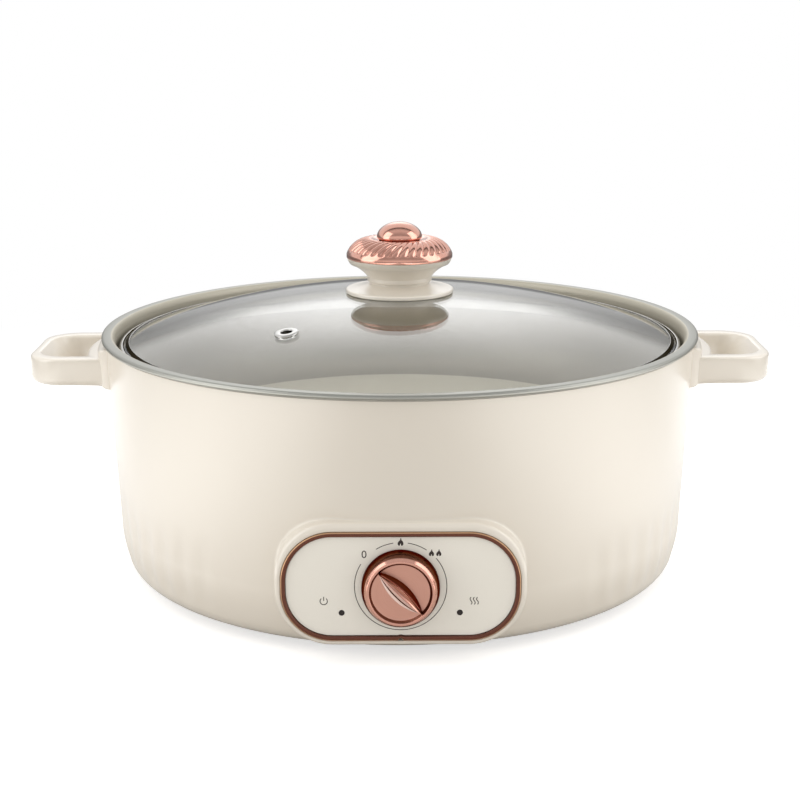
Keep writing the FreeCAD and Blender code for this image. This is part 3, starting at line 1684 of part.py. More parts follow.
def knob_cup():
    """The flared grip above the disc: a thin groove at its foot, a rounded shoulder on top."""
    groove = size.knob_neck_radius - size.fit_gap
    return turned("knob_cup", [
        (screw_way, cup_low),
        (groove, cup_low),
        (groove, cup_low + 2 * size.fit_gap),
        (size.knob_waist_radius, cup_low + 5 * size.fit_gap),
        (size.knob_waist_radius, cup_low + size.knob_waist_height),
        right(size.knob_cup_radius - size.knob_shoulder_step, cup_top - size.knob_shoulder_drop,
              size.knob_cup_curve),
        left(size.knob_cup_radius, cup_top, size.knob_shoulder_curve),
        (size.knob_insert_radius, cup_top),
        (size.knob_insert_radius, insert_low),
        (screw_way, insert_low),
    ])


def knob_insert():
    return ring("knob_insert", size.knob_screw_radius + size.running_gap, size.knob_insert_radius,
                insert_low, cup_top)


def knob_cap():
    """The plated dome on the cup."""
    wall, curve = size.knob_cap_wall, size.knob_cap_curve
    shoulder = cup_top + size.knob_base_edge
    top = cup_top + size.knob_cap_height
    return turned("knob_cap", [
        (size.knob_cap_radius - wall, cup_top),
        (size.knob_cap_radius, cup_top),
        (size.knob_cap_radius, shoulder),
        left(size.knob_cap_top_radius, top, curve),
        (0, top),
        (0, top - wall),
        (size.knob_cap_top_radius, top - wall),
        right(size.knob_cap_radius - wall, shoulder, curve - wall),
    ])


def knob_button():
    """The small dome on top of the cap."""
    low = cup_top + size.knob_cap_height
    edge, reach = size.knob_button_edge, size.knob_button_radius
    dome = size.knob_button_rise - edge
    curve = (reach * reach + dome * dome) / (2 * dome)
    return turned("knob_button", [
        (0, low),
        (reach - edge, low),
        (reach, low + edge),
        left(0, low + size.knob_button_rise, curve),
    ])


def knob_washer():
    return ring("knob_washer", screw_way, size.knob_washer_radius, washer_low, washer_top)


def knob_screw():
    shank, head = size.knob_screw_radius, size.knob_screw_head_radius
    return turned("knob_screw", [
        (0, washer_low - size.knob_screw_head_height),
        (head, washer_low - size.knob_screw_head_height),
        (head, washer_low),
        (shank, washer_low),
        (shank, cup_top - size.fit_gap),
        (0, cup_top - size.fit_gap),
    ])


# The whole cooker

def feet():
    words = {45: "rear_right", 135: "rear_left", 225: "front_left", 315: "front_right"}
    return [foot(f"foot_{words[round(angle)]}", x, y)
            for angle, x, y in round_the_axis(4, foot_circle, 45)]


def check(nodes):
    """Stop if any object failed or any piece is not a sound solid."""
    for thing in doc.Objects:
        if "Invalid" in thing.State or "Error" in thing.State:
            raise ValueError(f"{thing.Label} failed: {thing.State}")
    for node in nodes:
        if node.Shape.isNull() or not node.Shape.isValid() or node.Shape.Volume <= 0:
            raise ValueError(f"{node.Label} is not a sound solid")


nodes = [
    outer_shell(), inner_pot(), pot_gasket(),
    base_cover(), base_posts(), base_screws(), *feet(),
    heater_tube(), heater_beads(), heater_pins(), heat_reflector(),
    thermostat_body(), thermostat_bracket(), thermal_fuse(), fuse_clip(),
    handle("handle_right", 0), handle("handle_left", 180),
    handle_backing("backing_right", 0), handle_backing("backing_left", 180), handle_screws(),
    panel_trim(), panel_fascia(), panel_carrier(),
    indicator_lens("power_lens", -1), indicator_lens("heating_lens", 1),
    indicator_lamps(), lamp_boards(),
    switch_body(), switch_nut(), switch_tabs(), switch_shaft(),
    dial_knob(), dial_spring_ring(),
    inlet_housing(), inlet_socket(), inlet_pins(), inlet_screws(), inlet_nuts(),
    *leads(),
    lid_glass(), lid_band(), vent_eyelet(),
    knob_gasket(), knob_base(), knob_cup(), knob_insert(),
    knob_cap(), knob_button(), knob_washer(), knob_screw(),
]
doc.recompute()
check(nodes)
os.makedirs("parts", exist_ok=True)
for node in nodes:
    node.Shape.exportStep(f"parts/{node.Label}.step")
print(f"{len(nodes)} pieces written")
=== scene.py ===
# %% [markdown]
# # Dressing an electric hot pot
#
# The engineering model of this cooker is already packed: every piece has its size and place, and
# three bodies move, the cooker itself, the dial and the lid. This lesson gives it the surfaces
# that the eye expects. The frame is loaded first and never changed. Pieces whose shape is
# already right only get a finish, and pieces that need a softer or richer form are modelled
# again at the same place and stand for their solid.

# %% Load the fixed frame
import bpy
import json
import math
from mathutils import Matrix, Vector

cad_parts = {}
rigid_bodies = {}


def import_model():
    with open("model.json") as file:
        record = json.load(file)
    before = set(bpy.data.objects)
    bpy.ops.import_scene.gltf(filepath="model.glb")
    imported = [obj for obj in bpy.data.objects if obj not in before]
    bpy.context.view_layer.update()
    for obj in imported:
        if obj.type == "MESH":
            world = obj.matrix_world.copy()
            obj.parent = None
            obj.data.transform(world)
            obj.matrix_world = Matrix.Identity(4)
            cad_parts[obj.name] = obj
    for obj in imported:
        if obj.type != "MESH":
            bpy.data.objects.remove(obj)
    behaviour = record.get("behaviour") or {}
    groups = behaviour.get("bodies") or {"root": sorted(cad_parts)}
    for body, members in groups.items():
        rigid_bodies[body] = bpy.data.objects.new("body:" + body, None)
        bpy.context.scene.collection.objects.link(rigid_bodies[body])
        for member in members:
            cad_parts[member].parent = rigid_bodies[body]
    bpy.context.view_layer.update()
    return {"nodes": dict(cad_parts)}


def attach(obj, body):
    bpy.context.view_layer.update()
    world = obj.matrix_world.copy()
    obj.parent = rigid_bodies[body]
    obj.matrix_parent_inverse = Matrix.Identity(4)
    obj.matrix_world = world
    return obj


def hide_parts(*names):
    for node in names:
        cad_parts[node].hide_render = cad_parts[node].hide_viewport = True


for left_over in list(bpy.data.objects):
    bpy.data.objects.remove(left_over)
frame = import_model()
MM = 0.001

# %% [markdown]
# ## Camera, floor and light
#
# A product like this is shot from a little above with a long lens, so that the rim is a slim
# ellipse and the sides hardly converge. The camera is an ordinary one, tilted down by about
# fourteen degrees.

# %% Camera
CAMERA_PLACE = (0, -0.8824, 0.3119)
CAMERA_PITCH = math.radians(90 - 14.09)
CAMERA_ROLL = math.radians(-0.2)
CAMERA_LENS = 74.4

camera_turn = Matrix.Rotation(CAMERA_PITCH, 3, "X") @ Matrix.Rotation(CAMERA_ROLL, 3, "Z")
bpy.ops.object.camera_add(location=CAMERA_PLACE, rotation=camera_turn.to_euler())
camera = bpy.context.object
camera.name = "studio_camera"
camera.data.lens = CAMERA_LENS
camera.data.sensor_width = 36
bpy.context.scene.camera = camera
bpy.context.scene.view_settings.view_transform = "Standard"
print("camera at", [round(v, 3) for v in camera.location])

# %% [markdown]
# Materials are node trees. One function adds a node, sets what is plain about it and links
# what comes from another node, and one turns the hex colour that a designer would name into
# the linear values that the renderer works with.

# %% Node helpers
def linear(hex_colour):
    """An sRGB hex colour as linear red, green, blue and a full alpha."""
    channels = [int(hex_colour[i:i + 2], 16) / 255 for i in (1, 3, 5)]
    return [c / 12.92 if c <= 0.04045 else ((c + 0.055) / 1.055) ** 2.4 for c in channels] + [1.0]


def add_node(tree, kind, inputs=None, **settings):
    """Adds a node. Each input is a plain value, or another node's output socket to link from."""
    node = tree.nodes.new(kind)
    for name, value in settings.items():
        setattr(node, name, value)
    for name, value in (inputs or {}).items():
        if isinstance(value, bpy.types.NodeSocket):
            tree.links.new(value, node.inputs[name])
        else:
            node.inputs[name].default_value = value
    return node


def new_material(name):
    """An empty material and its tree, with only an output in it."""
    material = bpy.data.materials.new(name)
    material.use_nodes = True
    material.node_tree.nodes.clear()
    return material, material.node_tree


def show(tree, shader):
    """Sends a shader to the material's or the world's output."""
    output = "ShaderNodeOutputWorld" if tree is world_tree else "ShaderNodeOutputMaterial"
    add_node(tree, output, {"Surface": shader})


world = bpy.data.worlds.new("studio_air")
bpy.context.scene.world = world
world.use_nodes = True
world_tree = world.node_tree
world_tree.nodes.clear()
print("linear mid cream", [round(c, 3) for c in linear("#E8E2D6")])

# %% [markdown]
# The background is white because the camera sees it white, not because more light falls on
# the cooker. Polished parts see a room of their own: a pale screen low towards the camera with
# a grey wall above it, a soft glow overhead, a dark gap where the ceiling ends, and the white
# backdrop behind the cooker, which glows in its middle and is darker again where it meets the
# floor. These steps draw the stripes that make plated parts read as metal, and the sheen on
# the glass beside the knob.

# %% World
AMBIENT = 0.76
BACK_GLOW = 0.95
# (degrees from the front horizon over the top to the back horizon, brightness)
MIRRORED_ROOM = [(0, 0.42), (10, 0.95), (28, 1.0), (42, 0.46), (62, 0.6), (84, 0.86),
                 (98, 0.62), (104, 0.14), (110, 0.14), (114, 1.05), (150, 1.05), (163, 1.0),
                 (168, 0.5), (173, 0.34), (180, 0.3)]

direction = add_node(world_tree, "ShaderNodeTexCoord")
axes = add_node(world_tree, "ShaderNodeSeparateXYZ", {"Vector": direction.outputs["Generated"]})
front = add_node(world_tree, "ShaderNodeMath", {0: axes.outputs["Y"], 1: -1.0},
                 operation="MULTIPLY")
over = add_node(world_tree, "ShaderNodeMath", {0: axes.outputs["Z"], 1: front.outputs["Value"]},
                operation="ARCTAN2")
share = add_node(world_tree, "ShaderNodeMath", {0: over.outputs["Value"], 1: math.pi},
                 operation="DIVIDE")
room = add_node(world_tree, "ShaderNodeValToRGB", {"Fac": share.outputs["Value"]})
for degrees, brightness in MIRRORED_ROOM[1:-1]:
    room.color_ramp.elements.new(degrees / 180)
for stop, (degrees, brightness) in zip(room.color_ramp.elements, MIRRORED_ROOM):
    stop.color = (brightness, brightness, brightness, 1)
aside = add_node(world_tree, "ShaderNodeMath", {0: axes.outputs["X"]}, operation="ABSOLUTE")
middle = add_node(world_tree, "ShaderNodeMapRange",
                  {"Value": aside.outputs["Value"], "From Min": 0.3, "From Max": 0.06,
                   "To Max": BACK_GLOW}, interpolation_type="SMOOTHSTEP")
low_back = add_node(world_tree, "ShaderNodeMapRange",
                    {"Value": share.outputs["Value"], "From Min": 0.76, "From Max": 0.86},
                    interpolation_type="SMOOTHSTEP")
glow = add_node(world_tree, "ShaderNodeMath", {0: middle.outputs["Result"],
                                               1: low_back.outputs["Result"]},
                operation="MULTIPLY")
glowing = add_node(world_tree, "ShaderNodeMath", {0: glow.outputs["Value"], 1: 1.0},
                   operation="ADD")
lit_room = add_node(world_tree, "ShaderNodeMath", {0: room.outputs["Color"],
                                                   1: glowing.outputs["Value"]},
                    operation="MULTIPLY")
ray = add_node(world_tree, "ShaderNodeLightPath")
through = add_node(world_tree, "ShaderNodeMath",
                   {0: ray.outputs["Is Camera Ray"], 1: ray.outputs["Is Transmission Ray"]},
                   operation="MAXIMUM")
plain = add_node(world_tree, "ShaderNodeMix",
                 {"Factor": through.outputs["Value"], "A": AMBIENT, "B": 1.0}, data_type="FLOAT")
mirrored = add_node(world_tree, "ShaderNodeMix",
                    {"Factor": ray.outputs["Is Glossy Ray"], "A": plain.outputs["Result"],
                     "B": lit_room.outputs["Value"]}, data_type="FLOAT")
backdrop = add_node(world_tree, "ShaderNodeBackground",
                    {"Color": (1, 1, 1, 1), "Strength": mirrored.outputs["Result"]})
show(world_tree, backdrop.outputs["Background"])
print("ambient strength", AMBIENT)

# %% [markdown]
# The floor is matt and nearly white. A little light of its own, seen only by the camera and
# through glass, lifts it to the white of the backdrop where no shadow falls, and further out
# it turns into the backdrop altogether, so that no horizon shows. White cards lie on it left
# and right of the cooker, with soft ends: only its gloss sees them, as a pale sheen on both
# flanks. Far behind the cooker, gloss sees the floor as the dark half of the room.

# %% Floor
FLOOR_LIFT = 0.6
CARD = 1.9
DARK_HALF = 0.24

bpy.ops.object.select_all(action="DESELECT")
bpy.ops.mesh.primitive_plane_add(size=12)
floor = bpy.context.object
floor.name = "studio_floor"
floor_paint, tree = new_material("matt_studio_floor")
matt = add_node(tree, "ShaderNodeBsdfDiffuse", {"Color": linear("#DAD8D5"), "Roughness": 0.5})
ray = add_node(tree, "ShaderNodeLightPath")
seen = add_node(tree, "ShaderNodeMath", {0: ray.outputs["Is Camera Ray"],
                                         1: ray.outputs["Is Transmission Ray"]},
                operation="MAXIMUM")
lift = add_node(tree, "ShaderNodeMath", {0: seen.outputs["Value"], 1: FLOOR_LIFT},
                operation="MULTIPLY")
place = add_node(tree, "ShaderNodeTexCoord")
axes = add_node(tree, "ShaderNodeSeparateXYZ", {"Vector": place.outputs["Object"]})
aside = add_node(tree, "ShaderNodeMath", {0: axes.outputs["X"]}, operation="ABSOLUTE")
card = seen_by_gloss = ray.outputs["Is Glossy Ray"]
for along, start, end, least in ((aside.outputs["Value"], 0.1, 0.33, 0.0),
                                 (aside.outputs["Value"], 0.7, 0.5, 0.0),
                                 (axes.outputs["Y"], 0.12, -0.22, 0.3)):
    edge = add_node(tree, "ShaderNodeMapRange", {"Value": along, "From Min": start,
                                                 "From Max": end, "To Min": least},
                    interpolation_type="SMOOTHSTEP")
    card = add_node(tree, "ShaderNodeMath", {0: card, 1: edge.outputs["Result"]},
                    operation="MULTIPLY").outputs["Value"]
mirrored = add_node(tree, "ShaderNodeMath", {0: card, 1: CARD, 2: lift.outputs["Value"]},
                    operation="MULTIPLY_ADD")
own = add_node(tree, "ShaderNodeEmission", {"Color": (1, 1, 1, 1),
                                            "Strength": mirrored.outputs["Value"]})
near = add_node(tree, "ShaderNodeAddShader", {0: matt.outputs["BSDF"], 1: own.outputs["Emission"]})
away = add_node(tree, "ShaderNodeVectorMath", {0: place.outputs["Object"]}, operation="LENGTH")
far = add_node(tree, "ShaderNodeMapRange", {"Value": away.outputs["Value"], "From Min": 0.3,
                                            "From Max": 0.75}, interpolation_type="SMOOTHSTEP")
blend = add_node(tree, "ShaderNodeMath", {0: far.outputs["Result"], 1: seen.outputs["Value"]},
                 operation="MULTIPLY")
white = add_node(tree, "ShaderNodeEmission", {"Color": (1, 1, 1, 1), "Strength": 1.0})
sweep = add_node(tree, "ShaderNodeMixShader", {"Fac": blend.outputs["Value"],
                                               1: near.outputs["Shader"],
                                               2: white.outputs["Emission"]})
beyond = add_node(tree, "ShaderNodeMapRange", {"Value": away.outputs["Value"], "From Min": 0.65,
                                               "From Max": 1.0}, interpolation_type="SMOOTHSTEP")
behind = add_node(tree, "ShaderNodeMapRange", {"Value": axes.outputs["Y"], "From Min": -0.3,
                                               "From Max": 0.25}, interpolation_type="SMOOTHSTEP")
dim = add_node(tree, "ShaderNodeMath", {0: beyond.outputs["Result"], 1: seen_by_gloss},
               operation="MULTIPLY")
dim = add_node(tree, "ShaderNodeMath", {0: dim.outputs["Value"], 1: behind.outputs["Result"]},
               operation="MULTIPLY")
grey = add_node(tree, "ShaderNodeEmission", {"Color": (1, 1, 1, 1), "Strength": DARK_HALF})
studio = add_node(tree, "ShaderNodeMixShader", {"Fac": dim.outputs["Value"],
                                                1: sweep.outputs["Shader"],
                                                2: grey.outputs["Emission"]})
show(tree, studio.outputs["Shader"])
floor.data.materials.append(floor_paint)
print("floor", floor.dimensions.x, "m wide")

# %% [markdown]
# Two tall soft boxes, as big as doors, stand left and right of the cooker. They put one broad
# bright band on each side of the round body and leave its middle a shade darker. A wide soft
# box overhead lights the lid, the rim and the tops of the handles; it is hidden from mirrors,
# which see the soft glow of the room instead.

# %% Lamps
def soft_box(name, place, aim, width, height, watts):
    """A rectangular area lamp at a place, facing a point."""
    heading = Vector(aim) - Vector(place)
    bpy.ops.object.light_add(type="AREA", location=place,
                             rotation=heading.to_track_quat("-Z", "Y").to_euler())
    lamp = bpy.context.object
    lamp.name = name
    lamp.data.shape = "RECTANGLE"
    lamp.data.size, lamp.data.size_y = width, height
    lamp.data.energy = watts
    return lamp


# The point that a box faces, its width and height in metres, and its watts.
SIDE_BOX = ((0, 0, 0.08), 1.0, 1.9, 9.7)
TOP_BOX = ((0, 0, 0.1), 1.6, 1.2, 6.5)

soft_box("left_soft_box", (-1.35, -0.42, 0.7), *SIDE_BOX)
soft_box("right_soft_box", (1.4, -0.22, 0.7), *SIDE_BOX)
overhead = soft_box("top_soft_box", (0, 0.1, 1.5), *TOP_BOX)
overhead.visible_glossy = False

# %% [markdown]
# ## How round pieces are made
#
# Most of a pot is turned: one outline swept once round the upright axis. The outline is drawn
# in millimetres as radius and height. Moulds and presses never leave a knife edge, so each
# corner of an outline may carry a small rounding.

# %% Outline helpers
def soften(corners):
    """Points of an outline whose corners are (across, up) or (across, up, rounding)."""
    points = []
    for i, corner in enumerate(corners):
        here = Vector(corner[:2])
        if len(corner) == 2:
            points.append(tuple(here))
            continue
        back = Vector(corners[i - 1][:2]) - here
        ahead = Vector(corners[(i + 1) % len(corners)][:2]) - here
        turn = math.pi - back.angle(ahead)
        reach = min(corner[2] * math.tan(turn / 2), 0.49 * back.length, 0.49 * ahead.length)
        radius = reach / math.tan(turn / 2)
        inwards = (back.normalized() + ahead.normalized()).normalized()
        centre = here + inwards * radius / math.cos(turn / 2)
        spoke = here + back.normalized() * reach - centre
        leaving = here + ahead.normalized() * reach - centre
        way = 1 if spoke.x * leaving.y - spoke.y * leaving.x > 0 else -1
        steps = max(2, round(math.degrees(turn) / 18))
        for k in range(steps + 1):
            points.append(tuple(centre + Matrix.Rotation(way * turn * k / steps, 2) @ spoke))
    return points


def arc(start, end, radius, turn, steps):
    """Points along the short arc after start, turning left (1) or right (-1), up to end."""
    start, end = Vector(start), Vector(end)
    chord = end - start
    offset = math.sqrt(max(radius ** 2 - chord.length ** 2 / 4, 0))
    centre = (start + end) / 2 + Vector((-chord.y, chord.x)).normalized() * offset * turn
    sweep = 2 * math.asin(min(1, chord.length / (2 * radius))) * turn
    return [tuple(centre + Matrix.Rotation(sweep * k / steps, 2) @ (start - centre))
            for k in range(1, steps + 1)]


print("a softened square has", len(soften([(0, 0, 1), (9, 0, 1), (9, 9, 1), (0, 9, 1)])), "points")

# %% [markdown]
# A turned piece starts as a small plane that is merged to one point. That point is moved to
# the start of the outline and extruded along it, and the line is spun a full turn. The seam
# and any pole are closed by merging doubles, and only then are the normals made to point out.

# %% Turning a piece
def shade(piece, degrees):
    """Smooth shading that keeps edges sharper than an angle."""
    bpy.ops.object.select_all(action="DESELECT")
    piece.select_set(True)
    bpy.context.view_layer.objects.active = piece
    bpy.ops.object.shade_smooth_by_angle(angle=math.radians(degrees))


def close_seams():
    """In edit mode: merges what lies in one place and turns all faces outwards."""
    bpy.ops.mesh.select_all(action="SELECT")
    bpy.ops.mesh.remove_doubles(threshold=0.002 * MM)
    bpy.ops.mesh.normals_make_consistent(inside=False)
    bpy.ops.object.mode_set(mode="OBJECT")


def turned(name, outline, steps=192):
    """Spins an outline of (radius, height) in millimetres round the upright axis."""
    bpy.ops.object.select_all(action="DESELECT")
    bpy.ops.mesh.primitive_plane_add(size=MM)
    piece = bpy.context.object
    piece.name = name
    bpy.ops.object.mode_set(mode="EDIT")
    bpy.ops.mesh.merge(type="CENTER")
    before = (0.0, 0.0)
    for i, point in enumerate(outline):
        step = ((point[0] - before[0]) * MM, 0, (point[1] - before[1]) * MM)
        if i == 0:
            bpy.ops.transform.translate(value=step)
        else:
            bpy.ops.mesh.extrude_region_move(TRANSFORM_OT_translate={"value": step})
        before = point
    bpy.ops.mesh.select_all(action="SELECT")
    bpy.ops.mesh.spin(steps=steps, angle=math.tau, center=(0, 0, 0), axis=(0, 0, 1))
    close_seams()
    return piece


test_bead = turned("test_bead", soften([(0, 0), (2, 0, 0.4), (2, 1, 0.4), (0, 1)]), 24)
print("a test bead has", len(test_bead.data.polygons), "faces")
bpy.data.objects.remove(test_bead)

# %% [markdown]
# Pieces that are not round start as a flat grid whose points are moved, each by the same rule,
# onto the shape: one way round the piece and the other way round its section. This is how a
# loop, a ring of any outline or a swollen leaf gets an even net of four-sided faces.

# %% Wrapping a grid
def wrapped(name, columns, rows, rule):
    """A grid whose point at shares (u, v) of its sides moves to rule(u, v), in millimetres."""
    bpy.ops.object.select_all(action="DESELECT")
    bpy.ops.mesh.primitive_grid_add(x_subdivisions=columns, y_subdivisions=rows, size=1)
    piece = bpy.context.object
    piece.name = name
    for vertex in piece.data.vertices:
        vertex.co = Vector(rule(vertex.co.x + 0.5, vertex.co.y + 0.5)) * MM
    bpy.ops.object.mode_set(mode="EDIT")
    close_seams()
    return piece


def rounded_rectangle(length, height, corner, up, straight=40, bend=24):
    """Points (x, z) and outward normals round a rounded rectangle, from its lower right bend."""
    half_x, half_z = length / 2 - corner, height / 2 - corner
    points = []
    for turn, cx, cz, side in ((-90, half_x, -half_z, 2 * half_z),
                               (0, half_x, half_z, 2 * half_x),
                               (90, -half_x, half_z, 2 * half_z),
                               (180, -half_x, -half_z, 2 * half_x)):
        for k in range(bend + 1):
            angle = math.radians(turn + 90 * k / bend)
            normal = (math.cos(angle), math.sin(angle))
            spot = (cx + corner * normal[0], up + cz + corner * normal[1])
            if k < bend:
                points.append((spot, normal))
        for k in range(straight):
            run = side * k / straight
            points.append(((spot[0] - normal[1] * run, spot[1] + normal[0] * run), normal))
    return points


ring_test = rounded_rectangle(10, 6, 2, 0, 4, 4)
print("a rounded rectangle of", len(ring_test), "points")

# %% [markdown]
# Every finished piece is handled the same way: it is shaded smooth, it gets its material, it
# rides on the body that carries it, and it stands for the solids that it takes the place of.

# %% Dressing a piece
FACES_MADE = {}


def fit(piece, body, material, slot, *solids, degrees=35):
    """Finishes a piece: shading, material, the body that carries it, and what it replaces."""
    shade(piece, degrees)
    piece.data.materials.clear()
    piece.data.materials.append(material)
    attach(piece, body)
    if solids:
        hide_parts(*solids)
    FACES_MADE[piece.name] = len(piece.data.polygons)
    low, high = [Vector(corner) for corner in (piece.bound_box[0], piece.bound_box[6])]
    size = [round(v / MM, 1) for v in high - low]
    print(piece.name, len(piece.data.polygons), "faces,", size, "mm")
    return piece


def place_at(piece, matrix):
    """Moves the points of a piece by a matrix, so that the piece itself stays at the origin."""
    piece.data.transform(matrix)
    return piece


def carve(piece, cutter):
    """Cuts one closed piece out of another and removes the cutter."""
    bpy.ops.object.select_all(action="DESELECT")
    piece.select_set(True)
    bpy.context.view_layer.objects.active = piece
    way = piece.modifiers.new("way", "BOOLEAN")
    way.operation, way.object, way.solver = "DIFFERENCE", cutter, "EXACT"
    bpy.ops.object.modifier_apply(modifier=way.name)
    bpy.data.objects.remove(cutter)


def ringed(name, count, profile):
    """A closed piece from count outlines that follow each other round a loop; profile(k) gives
    the k-th outline as (x, y, z) points in millimetres, the same number each time."""
    outlines = [profile(k) for k in range(count)]
    rows = len(outlines[0])
    return wrapped(name, count, rows, lambda u, v: outlines[round(u * count) % count]
                   [round(v * rows) % rows])


print("helpers ready")

# %% [markdown]
# ## Mouldings, metals and glass
#
# The body, the handles and the lower half of the knob are glossy moulded polypropylene, cream
# all the way through, under a soft pearly lacquer. The mould is polished, but thick plastic never
# cools quite even: a faint long swell in the surface makes reflections swim a little, and the
# pigment drifts by a shade. The swell is about 25 mm long and the finer ripple 2 mm.

# %% Cream moulded polypropylene
def position(tree, scale=1.0):
    """The point on the piece in millimetres times a scale."""
    place = add_node(tree, "ShaderNodeTexCoord")
    return add_node(tree, "ShaderNodeVectorMath",
                    {0: place.outputs["Object"], 1: (scale / MM,) * 3},
                    operation="MULTIPLY").outputs["Vector"]


def grained(tree, vector, scale, detail, low_tone, high_tone):
    """Adds a grain of noise. Gives its value and a colour that drifts with it between two tones."""
    grain = add_node(tree, "ShaderNodeTexNoise", {"Vector": vector, "Scale": scale,
                                                  "Detail": detail}).outputs["Fac"]
    tone = add_node(tree, "ShaderNodeMix", {"Factor": grain, "A": linear(low_tone),
                                            "B": linear(high_tone)}, data_type="RGBA")
    return grain, tone.outputs["Result"]


cream_plastic, tree = new_material("glossy_moulded_polypropylene_cream")
drift, tone = grained(tree, position(tree, 1 / 60), 1.0, 3.0, "#DDD4C6", "#E1D9CB")
swell = add_node(tree, "ShaderNodeTexNoise", {"Vector": position(tree, 1 / 25), "Scale": 1.0,
                                              "Detail": 1.0})
ripple = add_node(tree, "ShaderNodeTexNoise", {"Vector": position(tree, 1 / 2), "Scale": 1.0,
                                               "Detail": 2.0})
relief = add_node(tree, "ShaderNodeBump", {"Height": swell.outputs["Fac"], "Strength": 0.015,
                                           "Distance": 0.0004})
relief = add_node(tree, "ShaderNodeBump", {"Height": ripple.outputs["Fac"], "Strength": 0.03,
                                           "Distance": 0.00006, "Normal": relief.outputs["Normal"]})
gloss = add_node(tree, "ShaderNodeMapRange", {"Value": drift, "From Min": 0.3,
                                              "From Max": 0.7, "To Min": 0.23, "To Max": 0.25})
skin = add_node(tree, "ShaderNodeBsdfPrincipled",
                {"Base Color": tone, "Roughness": gloss.outputs["Result"],
                 "IOR": 1.49, "Coat Weight": 0.9, "Coat IOR": 1.75, "Coat Roughness": 0.34,
                 "Normal": relief.outputs["Normal"]})
show(tree, skin.outputs["BSDF"])
print(cream_plastic.name, len(tree.nodes), "nodes")

# %% [markdown]
# The pot is pressed aluminium. Its rolled rim is anodised and lightly brushed round the axis,
# a soft silver grey. Below it the inside, and the ledge under the lid, carry a
# grey-brown non-stick coat: sprayed, so it has a fine orange peel and tiny mica specks of
# about half a millimetre. The floor inside is painted a shade paler than the wall, as painted
# light from above, and the coat thins out towards the rim.

# %% Coated aluminium
pot_metal, tree = new_material("nonstick_coated_aluminium")
here = position(tree)
parts = add_node(tree, "ShaderNodeSeparateXYZ", {"Vector": here})
flat = add_node(tree, "ShaderNodeVectorMath", {0: here, 1: (1, 1, 0)}, operation="MULTIPLY")
reach = add_node(tree, "ShaderNodeVectorMath", {0: flat.outputs["Vector"]}, operation="LENGTH")
bare = add_node(tree, "ShaderNodeMapRange", {"Value": reach.outputs["Value"],
                                             "From Min": 154.9, "From Max": 155.1})
rings = add_node(tree, "ShaderNodeCombineXYZ", {"X": reach.outputs["Value"],
                                                "Y": parts.outputs["Z"]})
brushed, rim_tone = grained(tree, rings.outputs["Vector"], 3.0, 3.0, "#989892", "#ACACA5")
rim_relief = add_node(tree, "ShaderNodeBump", {"Height": brushed, "Strength": 0.2,
                                               "Distance": 0.00003})
rim = add_node(tree, "ShaderNodeBsdfPrincipled",
               {"Base Color": rim_tone, "Metallic": 1.0, "Roughness": 0.38,
                "Normal": rim_relief.outputs["Normal"]})
specks = add_node(tree, "ShaderNodeTexVoronoi", {"Vector": here, "Scale": 1.6})
speck = add_node(tree, "ShaderNodeMapRange", {"Value": specks.outputs["Distance"],
                                              "From Min": 0.16, "From Max": 0.1})
# Painted light: inside 130 mm the floor is painted paler than the wall, as if lit from above.
painted_light_floor = add_node(tree, "ShaderNodeMapRange", {"Value": reach.outputs["Value"],
                                               "From Min": 131, "From Max": 130})
collar = add_node(tree, "ShaderNodeMapRange", {"Value": parts.outputs["Z"], "From Min": 121,
                                               "From Max": 128})
coat_tone = linear("#7C7564")
for area, tone in ((painted_light_floor, "#C6C1B1"), (collar, "#B5AF9F"), (speck, "#B0AB9C")):
    coat_tone = add_node(tree, "ShaderNodeMix",
                         {"Factor": area.outputs["Result"], "A": coat_tone, "B": linear(tone)},
                         data_type="RGBA").outputs["Result"]
peel = add_node(tree, "ShaderNodeTexNoise", {"Vector": here, "Scale": 1.2, "Detail": 2.0})
coat_relief = add_node(tree, "ShaderNodeBump", {"Height": peel.outputs["Fac"], "Strength": 0.3,
                                                "Distance": 0.00004})
coating = add_node(tree, "ShaderNodeBsdfPrincipled",
                   {"Base Color": coat_tone, "Metallic": 0.25,
                    "Roughness": 0.42, "Normal": coat_relief.outputs["Normal"]})
pressed = add_node(tree, "ShaderNodeMixShader", {"Fac": bare.outputs["Result"],
                                                 1: coating.outputs["BSDF"],
                                                 2: rim.outputs["BSDF"]})
show(tree, pressed.outputs["Shader"])
print(pot_metal.name, len(tree.nodes), "nodes")

# %% [markdown]
# The lid is clear soda-lime glass, pressed into a shallow dome and tempered. Its two faces
# swim by a few hundredths of a millimetre, which bends reflections slightly. Rays from lamps
# pass straight through it, so that the pot below is not left in the dark.

# %% Lid glass
lid_clear, tree = new_material("tempered_soda_lime_glass")
swim, body_tint = grained(tree, position(tree, 1 / 40), 1.0, 1.0, "#F9F9F6", "#FBFBF9")
relief = add_node(tree, "ShaderNodeBump", {"Height": swim, "Strength": 0.1, "Distance": 0.0002})
pane = add_node(tree, "ShaderNodeBsdfPrincipled",
                {"Base Color": body_tint, "Roughness": 0.0, "IOR": 1.52,
                 "Transmission Weight": 1.0, "Normal": relief.outputs["Normal"]})
clear = add_node(tree, "ShaderNodeBsdfTransparent", {"Color": linear("#F8F8F5")})
ray = add_node(tree, "ShaderNodeLightPath")
lets_lamps_through = add_node(tree, "ShaderNodeMixShader", {"Fac": ray.outputs["Is Shadow Ray"],
                                                            1: pane.outputs["BSDF"],
                                                            2: clear.outputs["BSDF"]})
show(tree, lets_lamps_through.outputs["Shader"])
print(lid_clear.name, len(tree.nodes), "nodes")

# %% [markdown]
# The cap, the button and the dial are ABS with a rose gold metal film under clear lacquer.
# Film on plastic is bright but never optically flat: a soft orange peel about 1.5 mm wide
# breaks the edges of reflections.

